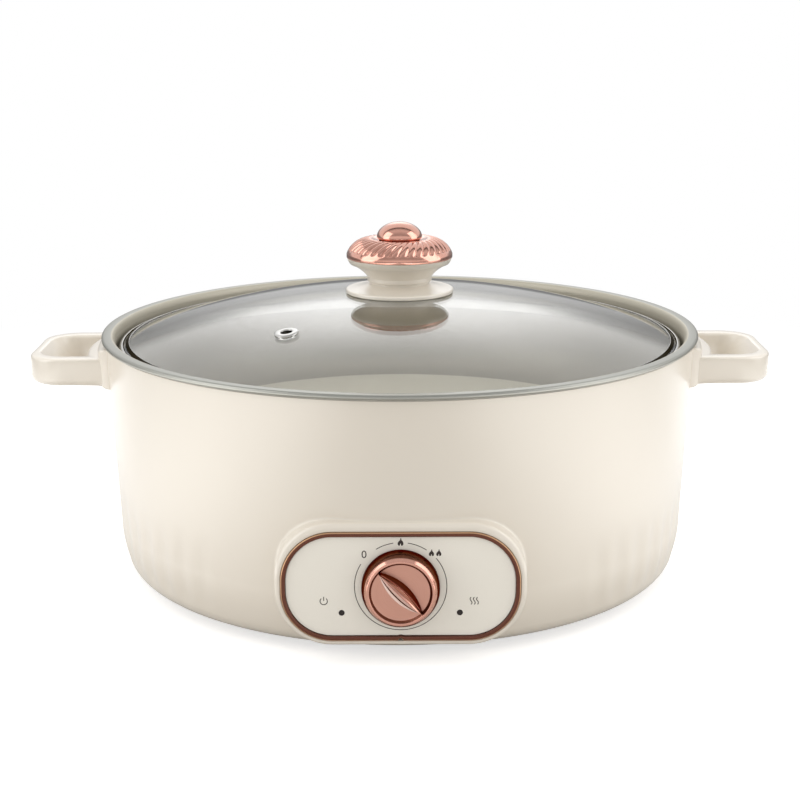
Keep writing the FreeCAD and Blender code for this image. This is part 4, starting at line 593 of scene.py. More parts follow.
# %% Rose gold plating
rose_gold, tree = new_material("vacuum_plated_rose_gold")
peel, film = grained(tree, position(tree, 1 / 1.5), 1.0, 1.0, "#D49B89", "#DDA796")
relief = add_node(tree, "ShaderNodeBump", {"Height": peel, "Strength": 0.12,
                                           "Distance": 0.00004})
plated = add_node(tree, "ShaderNodeBsdfPrincipled",
                  {"Base Color": film, "Metallic": 1.0, "Roughness": 0.15,
                   "Coat Weight": 0.4, "Coat Roughness": 0.06,
                   "Normal": relief.outputs["Normal"]})
show(tree, plated.outputs["BSDF"])
print(rose_gold.name, len(tree.nodes), "nodes")

# %% [markdown]
# The sunken face of the dial is the same film over a spun texture: circles a third of a
# millimetre apart spread the light to a soft satin fan.

# %% Spun rose gold
# The middle of the panel, the dial and the inlet lies at this height, in millimetres.
PANEL_UP = 40.6

dial_face_metal, tree = new_material("spun_rose_gold_face")
here = add_node(tree, "ShaderNodeVectorMath", {0: position(tree), 1: (0, 0, -PANEL_UP)},
                operation="ADD")
flat = add_node(tree, "ShaderNodeVectorMath", {0: here.outputs["Vector"], 1: (1, 0, 1)},
                operation="MULTIPLY")
reach = add_node(tree, "ShaderNodeVectorMath", {0: flat.outputs["Vector"]}, operation="LENGTH")
turns = add_node(tree, "ShaderNodeTexNoise", {"W": reach.outputs["Value"], "Scale": 3.0,
                                              "Detail": 2.0}, noise_dimensions="1D")
relief = add_node(tree, "ShaderNodeBump", {"Height": turns.outputs["Fac"], "Strength": 0.3,
                                           "Distance": 0.00003})
film = add_node(tree, "ShaderNodeMix", {"Factor": turns.outputs["Fac"], "A": linear("#CD9988"),
                                        "B": linear("#D8A696")}, data_type="RGBA")
satin = add_node(tree, "ShaderNodeBsdfPrincipled",
                 {"Base Color": film.outputs["Result"], "Metallic": 1.0, "Roughness": 0.36,
                  "Normal": relief.outputs["Normal"]})
show(tree, satin.outputs["BSDF"])
print(dial_face_metal.name, len(tree.nodes), "nodes")

# %% [markdown]
# At the foot of the dial, on the wall of its recess and in stripes along its grip, a deep
# copper brown is painted shade and painted dark reflection. Over most of the grip's wider flank
# a near white is a painted highlight. In the narrow valley of the lid's steel band, between its
# bead and the glass, a dark smoky steel is painted shade. These three finishes differ only in
# their tones and gloss, so one function makes them all.

# %% Painted shade and highlight on rose gold and steel
def mottled(name, patch, low_tone, high_tone, gloss):
    """A finish whose tone drifts in patches of a size in millimetres, with values of gloss."""
    finish, tree = new_material(name)
    tone = grained(tree, position(tree, 1 / patch), 1.0, 1.0, low_tone, high_tone)[1]
    surface = add_node(tree, "ShaderNodeBsdfPrincipled", {"Base Color": tone, **gloss})
    show(tree, surface.outputs["BSDF"])
    return finish


# Painted shade and dark reflection for the dial's foot, its recess wall and stripes on its grip.
painted_shade_copper = mottled("rose_gold_painted_shade", 1.5, "#6B4436", "#7D5344",
                      {"Metallic": 1.0, "Roughness": 0.22, "Specular Tint": linear("#96766A")})
# A painted highlight for most of the grip's wider flank.
painted_highlight_rose = mottled("rose_gold_painted_highlight", 1.5, "#F3D3C6", "#FBE2D7",
                      {"Metallic": 0.3, "Roughness": 0.24, "Coat Weight": 0.7,
                       "Coat Roughness": 0.1})
# Painted shade for the valley of the lid's steel band.
painted_shade_steel = mottled("polished_steel_painted_shade", 30, "#53514F", "#6E6C68",
                      {"Metallic": 1.0, "Roughness": 0.18, "Specular Tint": linear("#8A8884")})
print(painted_shade_copper.name, painted_highlight_rose.name, painted_shade_steel.name)

# %% [markdown]
# The lid's band and the vent eyelet are polished stainless steel, rolled and clinched. Fine
# polishing lines run round the axis.

# %% Polished steel
polished_steel, tree = new_material("polished_stainless_steel")
here = position(tree)
parts = add_node(tree, "ShaderNodeSeparateXYZ", {"Vector": here})
flat = add_node(tree, "ShaderNodeVectorMath", {0: here, 1: (1, 1, 0)}, operation="MULTIPLY")
reach = add_node(tree, "ShaderNodeVectorMath", {0: flat.outputs["Vector"]}, operation="LENGTH")
rings = add_node(tree, "ShaderNodeCombineXYZ", {"X": reach.outputs["Value"],
                                                "Y": parts.outputs["Z"]})
lines = add_node(tree, "ShaderNodeTexNoise", {"Vector": rings.outputs["Vector"], "Scale": 4.0,
                                              "Detail": 2.0})
relief = add_node(tree, "ShaderNodeBump", {"Height": lines.outputs["Fac"], "Strength": 0.15,
                                           "Distance": 0.00002})
shine = add_node(tree, "ShaderNodeMapRange", {"Value": lines.outputs["Fac"], "To Min": 0.1,
                                              "To Max": 0.22})
steel = add_node(tree, "ShaderNodeBsdfPrincipled",
                 {"Base Color": linear("#C4C3C0"), "Metallic": 1.0,
                  "Roughness": shine.outputs["Result"], "Normal": relief.outputs["Normal"]})
show(tree, steel.outputs["BSDF"])
print(polished_steel.name, len(tree.nodes), "nodes")

# %% [markdown]
# The fascia is beige ABS with a fine spark-eroded grain, the trim ring a copper brown
# pearlescent lacquer over plastic, and the marks are pad printed ink. A pale gold line round
# the trim's outer edge is a painted highlight.

# %% Fascia, trim and ink
fascia_beige, tree = new_material("fine_grained_abs_beige")
here = position(tree)
grain, tone = grained(tree, here, 2.5, 3.0, "#EFEADE", "#F3EEE3")
relief = add_node(tree, "ShaderNodeBump", {"Height": grain, "Strength": 0.2,
                                           "Distance": 0.00003})
plate = add_node(tree, "ShaderNodeBsdfPrincipled",
                 {"Base Color": tone, "Roughness": 0.42, "IOR": 1.54,
                  "Normal": relief.outputs["Normal"]})
show(tree, plate.outputs["BSDF"])

copper_brown, tree = new_material("copper_brown_lacquer")
flake = add_node(tree, "ShaderNodeTexVoronoi", {"Vector": position(tree), "Scale": 4.0})
tone = add_node(tree, "ShaderNodeMix", {"Factor": flake.outputs["Distance"],
                                        "A": linear("#74412D"), "B": linear("#5A2F20")},
                data_type="RGBA")
lacquer = add_node(tree, "ShaderNodeBsdfPrincipled",
                   {"Base Color": tone.outputs["Result"], "Metallic": 0.85, "Roughness": 0.26,
                    "Coat Weight": 0.5, "Coat Roughness": 0.08})
show(tree, lacquer.outputs["BSDF"])

# A painted highlight: the pale gold line for the trim's outer edge.
painted_highlight_edge, tree = new_material("pale_gold_painted_highlight")
flake = add_node(tree, "ShaderNodeTexVoronoi", {"Vector": position(tree), "Scale": 4.0})
tone = add_node(tree, "ShaderNodeMix", {"Factor": flake.outputs["Distance"],
                                        "A": linear("#CFA986"), "B": linear("#BE9470")},
                data_type="RGBA")
painted_highlight_coat = add_node(tree, "ShaderNodeBsdfPrincipled",
                     {"Base Color": tone.outputs["Result"], "Metallic": 0.7, "Roughness": 0.3})
show(tree, painted_highlight_coat.outputs["BSDF"])

ink, tree = new_material("pad_printed_ink_dark_brown")
tone = grained(tree, position(tree), 5.0, 2.0, "#2A211D", "#3A2F2A")[1]
print_coat = add_node(tree, "ShaderNodeBsdfPrincipled", {"Base Color": tone, "Roughness": 0.5})
show(tree, print_coat.outputs["BSDF"])
print(fascia_beige.name, copper_brown.name, ink.name)

# %% [markdown]
# ## The bowl
#
# The outer shell is one injection moulding. Its wall leans out slightly towards the top and
# rolls in to the base over two arcs. The lower third carries sixty shallow upright flutes,
# under a millimetre deep, that fade out on the way up and near the control panel. A turned
# outline gives the bowl, and one wave of the angle pushes the flutes into its outside. They
# only go inwards, so the bowl keeps its reach.

# %% The bowl's outline
FLUTES = 60
FLUTE_DEPTH = 0.8
FOOT_BEND, FOOT_ACROSS, FOOT_UP = 10.6, 140.28, 15.6    # radius and centre of the lowest bend
FLANK_BEND = 75                                         # radius of the bend above it
FOOT_TOP, FLANK_TOP = 12.61, 33.78                      # heights where the two bends end
WALL_START, WALL_LEAN, WALL_HEIGHT = 153.5, 4.4, 95.42  # the straight wall above them


def wall_radius(height):
    """The bowl's outer radius at a height, in millimetres."""
    if height < FOOT_TOP:
        return FOOT_ACROSS + math.sqrt(max(FOOT_BEND ** 2 - (FOOT_UP - height) ** 2, 0))
    if height < FLANK_TOP:
        return WALL_START - FLANK_BEND + math.sqrt(FLANK_BEND ** 2 - (FLANK_TOP - height) ** 2)
    return WALL_START + (height - FLANK_TOP) * WALL_LEAN / WALL_HEIGHT


def wall_depth(across, height):
    """How far in front of the axis the bowl's outside lies at a point of the front view."""
    return math.sqrt(wall_radius(height) ** 2 - across ** 2)


def ease(value, low, high):
    """A share from 0 at low to 1 at high with soft ends; low may be above high."""
    share = min(max((value - low) / (high - low), 0), 1)
    return share * share * (3 - 2 * share)


corner = [(FOOT_ACROSS + FOOT_BEND * math.sin(math.radians(a)),
           FOOT_UP - FOOT_BEND * math.cos(math.radians(a))) for a in range(0, 74, 8)]
heights = [FOOT_TOP + k for k in range(46)] + [66, 80, 96, 112, 127]
outside = corner + [(wall_radius(height), height) for height in heights]
inside = ([(155.4, 129.2), (151.0, FLANK_TOP)]
          + arc((151.0, FLANK_TOP), (148.05, 13.3), 72.5, -1, 10)
          + arc((148.05, 13.3), (FOOT_ACROSS, 7.5), 8.1, -1, 5)
          + [(133.8, 7.5), (133.8, 10), (122, 10), (122, 7.5), (131.3, 7.5)])
base_edge = [(131.3, 5)]
bowl = turned("bowl_shell", base_edge + outside + [(157.9, 129.2)] + inside + base_edge, 720)
for vertex in bowl.data.vertices:
    point = vertex.co / MM
    radius = math.hypot(point.x, point.y)
    if radius < wall_radius(point.z) - 0.4:
        continue
    from_panel = math.degrees(abs(math.atan2(point.x, -point.y)))
    depth = FLUTE_DEPTH * ease(point.z, 9, 20) * ease(point.z, 57, 34)
    depth *= ease(from_panel, 30, 44) * ease(from_panel, 166, 152)
    wave = 0.5 - 0.5 * math.cos(FLUTES * math.radians(from_panel))
    vertex.co.xy *= 1 - depth * wave / radius
print("bowl", len(bowl.data.polygons), "faces")

# %% [markdown]
# The bowl is open where the control panel is let in at the front, and where the power inlet
# passes at the back. Both ways are rounded rectangles, so one helper draws a block of that
# outline along Y to carve with.

# %% Openings in the bowl
def block(name, outline, front, back):
    """A closed block with a rounded outline, from one distance in front of the axis to another."""
    flat = [point for point, normal in outline]
    middle = Vector((sum(p[0] for p in flat) / len(flat), sum(p[1] for p in flat) / len(flat)))

    def slice_at(share, distance):
        return [(middle.x + (x - middle.x) * share, -distance, middle.y + (z - middle.y) * share)
                for x, z in flat]
    rows = [slice_at(0, front), slice_at(1, front), slice_at(1, back), slice_at(0, back)]
    return wrapped(name, len(flat), 3,
                   lambda u, v: rows[round(v * 3)][round(u * len(flat)) % len(flat)])


FRAME_UP = 41.45

carve(bowl, block("panel_way", rounded_rectangle(112.8, 55.1, 24.5, FRAME_UP), 165, 100))
carve(bowl, block("inlet_way", rounded_rectangle(28.6, 21.1, 2.3, PANEL_UP, 4, 4), -140, -160))
fit(bowl, "cooker", cream_plastic, "shell_plastic", "outer_shell", degrees=30)

# %% [markdown]
# Round the panel the moulding rises to a raised frame. Its lip is soft, like a pillow, and a
# small fillet ends its side on the round wall. The frame is a loop of outlines that run from
# the window over the lip and down to the wall. Each is worked out from where the wall is at
# that place, because the wall bends away towards both ends of the frame.

# %% Frame round the panel
STRAIGHT, BEND = 48, 24    # steps along each straight and round each bend
WINDOW = rounded_rectangle(112.2, 53.6, 24.3, PANEL_UP, STRAIGHT, BEND)
FRAME = rounded_rectangle(117.8, 60.1, 27.0, FRAME_UP, STRAIGHT, BEND)
OPENING = rounded_rectangle(103.6, 45.0, 20.0, PANEL_UP, STRAIGHT, BEND)
HOLLOW = rounded_rectangle(112.8, 55.1, 24.5, FRAME_UP, STRAIGHT, BEND)
# Distances from the axis: the frame's front, the inner edge of its lip, the face that the
# fascia rests on, and the back of that face.
PANEL_FRONT, LIP_EDGE, SEAT, SEAT_BACK = 158.5, 157.9, 153.1, 150.6
# How deep a moulding on the wall reaches into it, and where the frame's hollow begins.
SUNK, HOLLOW_DEEP = 1.2, 1.8


def frame_outline(k):
    """One section of the frame, from the window's back edge over the lip and into the wall."""
    (window, _), (edge, normal) = WINDOW[k], FRAME[k]
    (opening, _), (hollow, _) = OPENING[k], HOLLOW[k]
    window, edge, normal = Vector(window), Vector(edge), Vector(normal)
    proud = PANEL_FRONT - wall_depth(*edge)
    lip = (edge - window).length
    reach, drop = 0.7 * lip, min(0.55 * proud, 2.4)
    lip_round, foot_round = PANEL_FRONT - LIP_EDGE, min(0.6 * (proud - drop), 1.3)
    points = [(*window, SEAT), (*window, LIP_EDGE)]
    for k_round in range(1, 4):
        turn = math.radians(30 * k_round)
        spot = window + (edge - window) * lip_round * (1 - math.cos(turn)) / lip
        points.append((*spot, LIP_EDGE + lip_round * math.sin(turn)))
    for k_round in range(10):
        turn = math.radians(10 * k_round)
        spot = edge - (edge - window).normalized() * reach * (1 - math.sin(turn))
        points.append((*spot, PANEL_FRONT - drop * (1 - math.cos(turn))))
    start = edge.to_3d() + Vector((0, 0, wall_depth(*edge) + foot_round))
    knee = edge.to_3d() + Vector((0, 0, wall_depth(*edge)))
    foot = edge + normal * foot_round
    land = foot.to_3d() + Vector((0, 0, wall_depth(*foot)))
    for k_round in range(7):
        share = k_round / 6
        points.append(tuple(start * (1 - share) ** 2 + knee * 2 * share * (1 - share)
                            + land * share ** 2))
    buried = 1 - SUNK / wall_radius(foot.y)
    points.append((land.x * buried, land.y, land.z * buried))
    within = wall_depth(*hollow) - HOLLOW_DEEP
    points += [(*hollow, within), (*hollow, min(within, SEAT_BACK)), (*opening, SEAT_BACK),
               (*opening, SEAT)]
    return [(x, -distance, z) for x, z, distance in points]


panel_frame = ringed("panel_frame", len(FRAME), frame_outline)
fit(panel_frame, "cooker", cream_plastic, "shell_plastic", "outer_shell", degrees=40)

# %% [markdown]
# ## The pot and its lid
#
# The pot hangs in the bowl by its rolled rim. A step just below the rim is the ledge that the
# lid rests on. Everything is turned from one outline, and each bend of the sheet gets the
# small radius that pressing leaves.

# %% Inner pot
under = ([(0, 71.5), (122.2, 71.5)] + arc((122.2, 71.5), (150, 99.3), 27.8, 1, 14)
         + soften([(150, 119.7, 0.8), (154.6, 119.7, 0.8), (154.6, 130), (158.75, 130)]))
rim_bend = (arc((158.75, 130), (158.75, 132.5), 1.25, 1, 10) + [(157, 132.5)]
            + [(155.2 - 2.4 * math.sin(math.pi / 16 * k), 128.5 + 4 * math.cos(math.pi / 16 * k))
               for k in range(9)])
ledge = soften([(152.8, 128), (152.8, 121.5, 0.6), (148.2, 121.5, 0.8), (148.2, 118)])[1:-1]
within = ([(148.2, 110), (148.2, 100.5)] + arc((148.2, 100.5), (122.2, 74.5), 26, -1, 14)
          + [(0, 74.5)])
pot = turned("pressed_pot", under + rim_bend + ledge + within, 360)
fit(pot, "cooker", pot_metal, "coated_aluminium", "inner_pot", degrees=40)

# %% [markdown]
# The glass is a slice of a large sphere, 4 mm thick, with one hole for the knob's screw and one
# for the steam eyelet. The eyelet stands square to the dome, so one matrix carries the upright
# axis to that place, and it serves both the hole and the eyelet.

# %% Lid glass and steam eyelet
DOME = 455.0
GLASS_RADIUS, GLASS_EDGE, GLASS_THICK = 149.9, 126.35, 4
DOME_CENTRE = GLASS_EDGE - math.sqrt(DOME ** 2 - GLASS_RADIUS ** 2)
VENT_REACH, VENT_TURN, VENT_HOLE = 90.3, math.radians(231), 4.5


def dome_height(radius):
    """The height of the glass's top face at a distance from the axis."""
    return DOME_CENTRE + math.sqrt(DOME ** 2 - radius ** 2)


screw_hole, last = 4.5, GLASS_RADIUS - 1
reach_out = [screw_hole + (last - screw_hole) * k / 36 for k in range(37)]
top_face = [(r, dome_height(r)) for r in reversed(reach_out)]
low_face = [(r, dome_height(r) - GLASS_THICK) for r in reach_out]
edge = soften([low_face[-1], (GLASS_RADIUS, GLASS_EDGE - GLASS_THICK, 1.2),
               (GLASS_RADIUS, GLASS_EDGE, 1.2), top_face[0]])[1:-1]
glass = turned("lid_dome", low_face + edge + top_face + low_face[:1], 256)

vent_normal = Vector((VENT_REACH * math.cos(VENT_TURN), VENT_REACH * math.sin(VENT_TURN),
                      math.sqrt(DOME ** 2 - VENT_REACH ** 2))).normalized()
vent_spot = vent_normal * DOME + Vector((0, 0, DOME_CENTRE))
AT_VENT = (Matrix.Translation(vent_spot * MM)
           @ vent_normal.to_track_quat("Z", "Y").to_matrix().to_4x4())
vent_way = turned("vent_way", [(0, -8), (VENT_HOLE, -8), (VENT_HOLE, 8), (0, 8)], 64)
carve(glass, place_at(vent_way, AT_VENT))
fit(glass, "lid", lid_clear, "glass", "lid_glass", degrees=40)

eyelet = turned("steam_eyelet", soften([
    (2.9, -4.9, 0.3), (5.2, -4.9, 0.4), (5.2, -4.0, 0.3), (4.2, -4.0), (4.2, 0), (6.2, 0, 0.1),
    (6.2, 0.45, 0.4), (5.5, 0.9, 0.8), (2.9, 0.9, 0.5)]) + [(2.9, -4.6)], 96)
fit(place_at(eyelet, AT_VENT), "lid", polished_steel, "polished_steel", "vent_eyelet")

# %% [markdown]
# A strip of steel is rolled round the glass: a round bead at the outer edge, a lip on top, a
# wall, a foot that rests on the pot's ledge, and a skirt that keeps the lid centred. Rolling
# leaves round bends, and a fine valley between bead and lip.

# %% Steel band
lip_top = dome_height(145.5) + 0.85
skirt = soften([(146.8, 116.55, 0.3), (147.6, 116.55, 0.3), (147.6, 121.55, 0.3),
                (151, 121.55, 0.7), (151, 125.6)])
bead = [(149.45 + 1.55 * math.cos(math.radians(a)), 125.65 + 1.55 * math.sin(math.radians(a)))
        for a in range(0, 136, 15)]
lip = soften([(147.9, 126.85, 0.3), (147.2, 127.5, 0.5), (145.5, lip_top, 0.35),
              (145.5, lip_top - 0.8, 0.3), (148.0, 126.1)])
lining = soften([(150.2, 125.2, 0.4), (150.2, 122.35, 0.3), (146.8, 122.35, 0.3)])
band = turned("rolled_band", skirt + bead + lip + lining + [(146.8, 116.85)], 288)
fit(band, "lid", polished_steel, "polished_steel", "lid_band")
# Painted shade: the upward faces in the valley between the band's bead and lip get the dark smoky
# steel.
band.data.materials.append(painted_shade_steel)
for face in band.data.polygons:
    if 145.9 < math.hypot(face.center.x, face.center.y) / MM < 149.0 and face.normal.z > 0.3:
        face.material_index = 1

# %% [markdown]
# ## The knob
#
# A cream disc shields the hand from steam. Its top sweeps up in a hollow curve to a narrow
# neck. On it stands a cream cup with a shadow groove at its foot, flared like a tulip.

# %% Knob base and cup
base = turned("knob_disc", soften([
    (2.8, 152.55), (11, 152.55), (29, 151.13, 0.3), (29, 153.13, 0.9), (25.6, 153.6)])[:-1]
    + arc((28.1, 153.24), (16.5, 156.15), 26, -1, 16) + [(2.8, 156.15), (2.8, 152.55)], 192)
fit(base, "lid", cream_plastic, "shell_plastic", "knob_base")

cup = turned("knob_tulip", [(2.8, 156.15), (16.2, 156.15)] + soften([
    (16.2, 156.75, 0.2), (17.4, 157.65, 0.5), (17.4, 159.75)])
    + arc((17.4, 159.75), (26.6, 166.75), 20, -1, 18)
    + arc((26.6, 166.75), (28.2, 169.95), 6, 1, 8)
    + [(4, 169.95), (4, 159.95), (2.8, 159.95), (2.8, 156.15)], 192)
fit(cup, "lid", cream_plastic, "shell_plastic", "knob_cup")

# %% [markdown]
# The plated cap is a round-shouldered dish turned over. Thirty-six lobes are moulded over its
# shoulder, with a sharp crease between each two that leans round the axis on the way up, and a
# smooth bright band is left below them. The lobes come from one wave of the angle that turns
# with the radius; it only presses inwards. The button on top is a small dome whose edge tucks
# under to its foot.

# %% Cap and button
LOBES = 36
LOBE_DEPTH = 0.85
SWIRL = 0.3
SHOULDER = 12.4
SHOULDER_CENTRE = Vector((16.78, 167.9))
# Over these radii, and over these heights, the lobes grow from nothing to their full depth.
LOBE_RADII, LOBE_HEIGHTS = (14.5, 19.5), (173.7, 174.9)

cap_outline = (soften([(27.1, 169.95), (28.5, 169.95, 0.3), (28.5, 171.95)])
               + arc((28.5, 171.95), (12, 179.35), SHOULDER, 1, 56)
               + [(0, 179.35), (0, 177.95), (12, 177.95)]
               + arc((12, 177.95), (27.1, 171.95), 11, -1, 20) + [(27.1, 169.95)])
cap = turned("fluted_cap", cap_outline, 1080)
for vertex in cap.data.vertices:
    point = vertex.co / MM
    radius = math.hypot(point.x, point.y)
    spoke = Vector((radius, point.z)) - SHOULDER_CENTRE
    share = ease(radius, *LOBE_RADII) * ease(point.z, *LOBE_HEIGHTS)
    if share == 0 or abs(spoke.length - SHOULDER) > 0.3:
        continue
    turn = LOBES * (math.atan2(point.y, point.x) + SWIRL * (radius - 12) / 12) / math.tau % 1
    press = LOBE_DEPTH * share * (1 - math.sin(math.pi * turn ** 1.2) ** 0.7)
    spoke.normalize()
    lean = Vector((point.x / radius * spoke.x, point.y / radius * spoke.x, spoke.y))
    vertex.co -= lean * press * MM
fit(cap, "lid", rose_gold, "rose_gold", "knob_cap", degrees=50)

button = turned("dome_button", [(0, 179.35), (10.5, 179.35)]
                + arc((10.5, 179.35), (12.2, 180.75), 2.2, 1, 8)
                + [(12.2 * math.cos(math.radians(a)), 180.75 + 8.2 * math.sin(math.radians(a)))
                   for a in range(3, 91, 3)], 192)
fit(button, "lid", rose_gold, "rose_gold", "knob_button")

# %% [markdown]
# ## The handles
#
# Each handle is a loop moulded in the shell's cream. Its top is flat with soft edges and its
# underside is well rounded. The finger opening is wide at the top and narrow below, so its
# outer end is a slope that the fingertips slide down, and on the shell's side it bulges into
# the opening. Outlines of the rim and of the opening are walked round together, and at each
# place a softened section joins them.

# %% Handle loop
GRIP_TOP, GRIP_LOW = 121.8, 107.3
ROOT_RADIUS, GRIP_REACH, GRIP_HALF = 155.6, 197.3, 36
OPENING_START, OPENING_HALF, BULGE = 165, 26.5, 3.5
OPENING_END_TOP, OPENING_END_LOW = 193.1, 180.8


def edge_loop(inner, outer, half, corner):
    """Points in plan round a handle outline: inner(y) gives its side towards the pot, and its
    far corners are rounded."""
    root_count, side_count, corner_count, end_count = 36, 14, 16, 24
    points = [(inner(half * (2 * k / root_count - 1)), half * (2 * k / root_count - 1))
              for k in range(root_count)]
    start = inner(half)
    quarter = [(start + (outer - corner - start) * k / side_count, half)
               for k in range(side_count)]
    quarter += [(outer - corner + corner * math.sin(math.pi / 2 * k / corner_count),
                 half - corner + corner * math.cos(math.pi / 2 * k / corner_count))
                for k in range(corner_count)]
    points += quarter
    points += [(outer, (half - corner) * (1 - 2 * k / end_count)) for k in range(end_count)]
    points += [(x, -y) for x, y in reversed(quarter)]
    return points


def bulging(half):
    """The shell side of the finger opening: an arc that bulges into the opening."""
    radius = (half ** 2 + BULGE ** 2) / (2 * BULGE)
    return lambda y: OPENING_START + BULGE - radius + math.sqrt(radius ** 2 - y ** 2)


rim_loop = edge_loop(lambda y: math.sqrt(ROOT_RADIUS ** 2 - y ** 2), GRIP_REACH, GRIP_HALF, 19)
top_loop = edge_loop(bulging(OPENING_HALF), OPENING_END_TOP, OPENING_HALF, 14)
low_loop = edge_loop(bulging(OPENING_HALF), OPENING_END_LOW, OPENING_HALF, 5)


def handle_outline(k):
    """One section of the loop, from the opening's low edge up and round the outside."""
    rim, top, low = Vector(rim_loop[k]), Vector(top_loop[k]), Vector(low_loop[k])
    root = ease(rim.x, 158, 154)
    section = soften([((low - rim).length, GRIP_LOW, 1.6), ((top - rim).length, GRIP_TOP, 1.6),
                      (0, GRIP_TOP, 1.7 - 1.6 * root), (0, GRIP_LOW, 3.4 - 3.3 * root)])
    points = []
    for inwards, height in section:
        share = (height - GRIP_LOW) / (GRIP_TOP - GRIP_LOW)
        heading = (low - rim).normalized() * (1 - share) + (top - rim).normalized() * share
        spot = rim + heading.normalized() * inwards
        points.append((spot.x, spot.y, height))
    return points


print("a section has", [len(handle_outline(k)) for k in (0, 20, 60, 90)], "points")

# %% [markdown]
# A root plate spreads the load over the shell. It is a band of the same curve as the wall, a
# little wider and higher than the loop, and its edges roll over softly. A section of it is
# carried along the wall, and it thins out over the last millimetres at both ends.

# %% Root plates
PLATE_LOW, PLATE_TOP, PLATE_SIDE, PLATE_THICK = 105.9, 127.0, 37.5, 4.5
PLATE_ROLL = 3.2
PLATE_STEPS = 64


def plate_outline(k):
    """One upright section of the root plate, k steps along it."""
    side = PLATE_SIDE * math.sin(math.pi * (k / PLATE_STEPS - 0.5))
    past = max((abs(side) - PLATE_SIDE + PLATE_ROLL) / PLATE_ROLL, 0)
    rolled = math.sqrt(max(1 - past ** 2, 0))
    thick = PLATE_THICK * rolled
    edge_round = 0.1 + 2.4 * rolled
    section = soften([(-SUNK, PLATE_LOW), (thick, PLATE_LOW, edge_round),
                      (thick, PLATE_TOP, edge_round), (-SUNK, PLATE_TOP)])
    points = []
    for out, height in section:
        radius = wall_radius(height) + out
        points.append((math.sqrt(radius ** 2 - side ** 2), side, height))
    return points


plate_rows = len(plate_outline(0))
for word, turn in (("right", 0), ("left", math.pi)):
    around = Matrix.Rotation(turn, 4, "Z")
    loop = place_at(ringed(f"handle_loop_{word}", len(rim_loop), handle_outline), around)
    fit(loop, "cooker", cream_plastic, "shell_plastic", f"handle_{word}", degrees=50)
    plate = wrapped(f"handle_root_{word}", PLATE_STEPS, plate_rows,
                    lambda u, v: plate_outline(round(u * PLATE_STEPS))
                    [round(v * plate_rows) % plate_rows])
    fit(place_at(plate, around), "cooker", cream_plastic, "shell_plastic", f"handle_{word}",
        degrees=50)

# %% [markdown]
# ## The control panel
#
# A slim lacquered ring frames the fascia. Its front is crowned, so that a line of light runs
# round it, and at its lowest point a small half-round notch is left for prising it out.

# %% Trim ring
TRIM = rounded_rectangle(112.0, 53.4, 24.2, PANEL_UP, 160, 24)
TRIM_WIDTH, NOTCH, NOTCH_COLLAR = 2.3, 1.3, 2.6


def trim_outline(k):
    """One section of the ring; near the notch its edges follow two small circles."""
    (x, z), normal = TRIM[k]
    inner, outer = TRIM_WIDTH, 0
    if z < PANEL_UP and abs(x) < NOTCH_COLLAR:
        inner = max(TRIM_WIDTH, math.sqrt(NOTCH_COLLAR ** 2 - x ** 2))
    if z < PANEL_UP and abs(x) < NOTCH:
        outer = math.sqrt(NOTCH ** 2 - x ** 2)
    width = inner - outer
    section = [(0, 156.15), (0, 158.2), (0.08, 158.5), (0.25, 158.72), (0.5, 158.85),
               (0.8, 158.9), (0.8, 158.9), (0.5, 158.88), (0.25, 158.8), (0.08, 158.6),
               (0, 158.3), (0, 156.15)]
    points = []
    for i, (inset, distance) in enumerate(section):
        inset *= min(1, width / 2)
        across = outer + inset if i < len(section) / 2 else inner - inset
        points.append((x - normal[0] * across, -distance, z - normal[1] * across))
    return points


trim = ringed("trim_ring", len(TRIM), trim_outline)
fit(trim, "cooker", copper_brown, "copper_brown", "panel_trim", degrees=40)
trim.data.materials.append(painted_highlight_edge)
# Painted highlight: the outward faces at the front of the trim get the pale gold line.
for face in trim.data.polygons:
    outwards = Vector((face.center.x, 0, face.center.z - PANEL_UP * MM)).normalized()
    if face.normal.dot(outwards) > 0.25 and face.center.y < -LIP_EDGE * MM:
        face.material_index = 1

# %% [markdown]
# ## The dial
#
# The dial is turned like the lid's knob, then laid over so that its axis points at the user.
# Its side tapers towards a rounded rim, and its face is sunken. Across the face stands the
# grip, shaped like a leaf: a sharp ridge runs along it from rim to rim. On one side a hollow
# facet falls from the ridge to a round edge, and on the other side the flank is steep.

# %% Dial
FASCIA_FRONT = 157.7
DIAL_FACE = 8.4
AT_DIAL = (Matrix.Translation(Vector((0, -FASCIA_FRONT, PANEL_UP)) * MM)
           @ Matrix.Rotation(math.pi / 2, 4, "X"))

foot = [(15.0, 0.3)] + soften([(15.0, 0.3), (18.3, 0.3, 0.25), (18.3, 2.2, 0.3),
                               (18.2, 3.2)])[1:-1]
flank = arc((18.28, 2.6), (16.1, 9.4), 10, 1, 16)
recess = soften([(16.1, 9.4), (15.75, 10, 0.6), (14.7, 10, 0.4), (13.6, DIAL_FACE, 0.2),
                 (11, DIAL_FACE)])[1:-1]
middle = [(11, DIAL_FACE), (6, DIAL_FACE), (0, DIAL_FACE), (0, 6.4), (15.0, 6.4), (15.0, 0.3)]
dial = turned("dial_ring", foot + flank + recess + middle, 192)
place_at(dial, AT_DIAL)
fit(dial, "dial", rose_gold, "rose_gold", "dial_knob", degrees=40)
dial.data.materials.append(dial_face_metal)
dial.data.materials.append(painted_shade_copper)
# Painted shade: the dial's foot, its outer edge and the wall of its recess get the deep copper
# brown.
for face in dial.data.polygons:
    lift = -face.center.y / MM - FASCIA_FRONT
    reach = math.hypot(face.center.x / MM, face.center.z / MM - PANEL_UP)
    painted_shade_recess_wall = 13.7 < reach < 14.4 and lift > DIAL_FACE
    if abs(lift - DIAL_FACE) < 0.02:
        face.material_index = 1
    elif lift < 3.6 or reach > 16.9 or painted_shade_recess_wall:
        face.material_index = 2

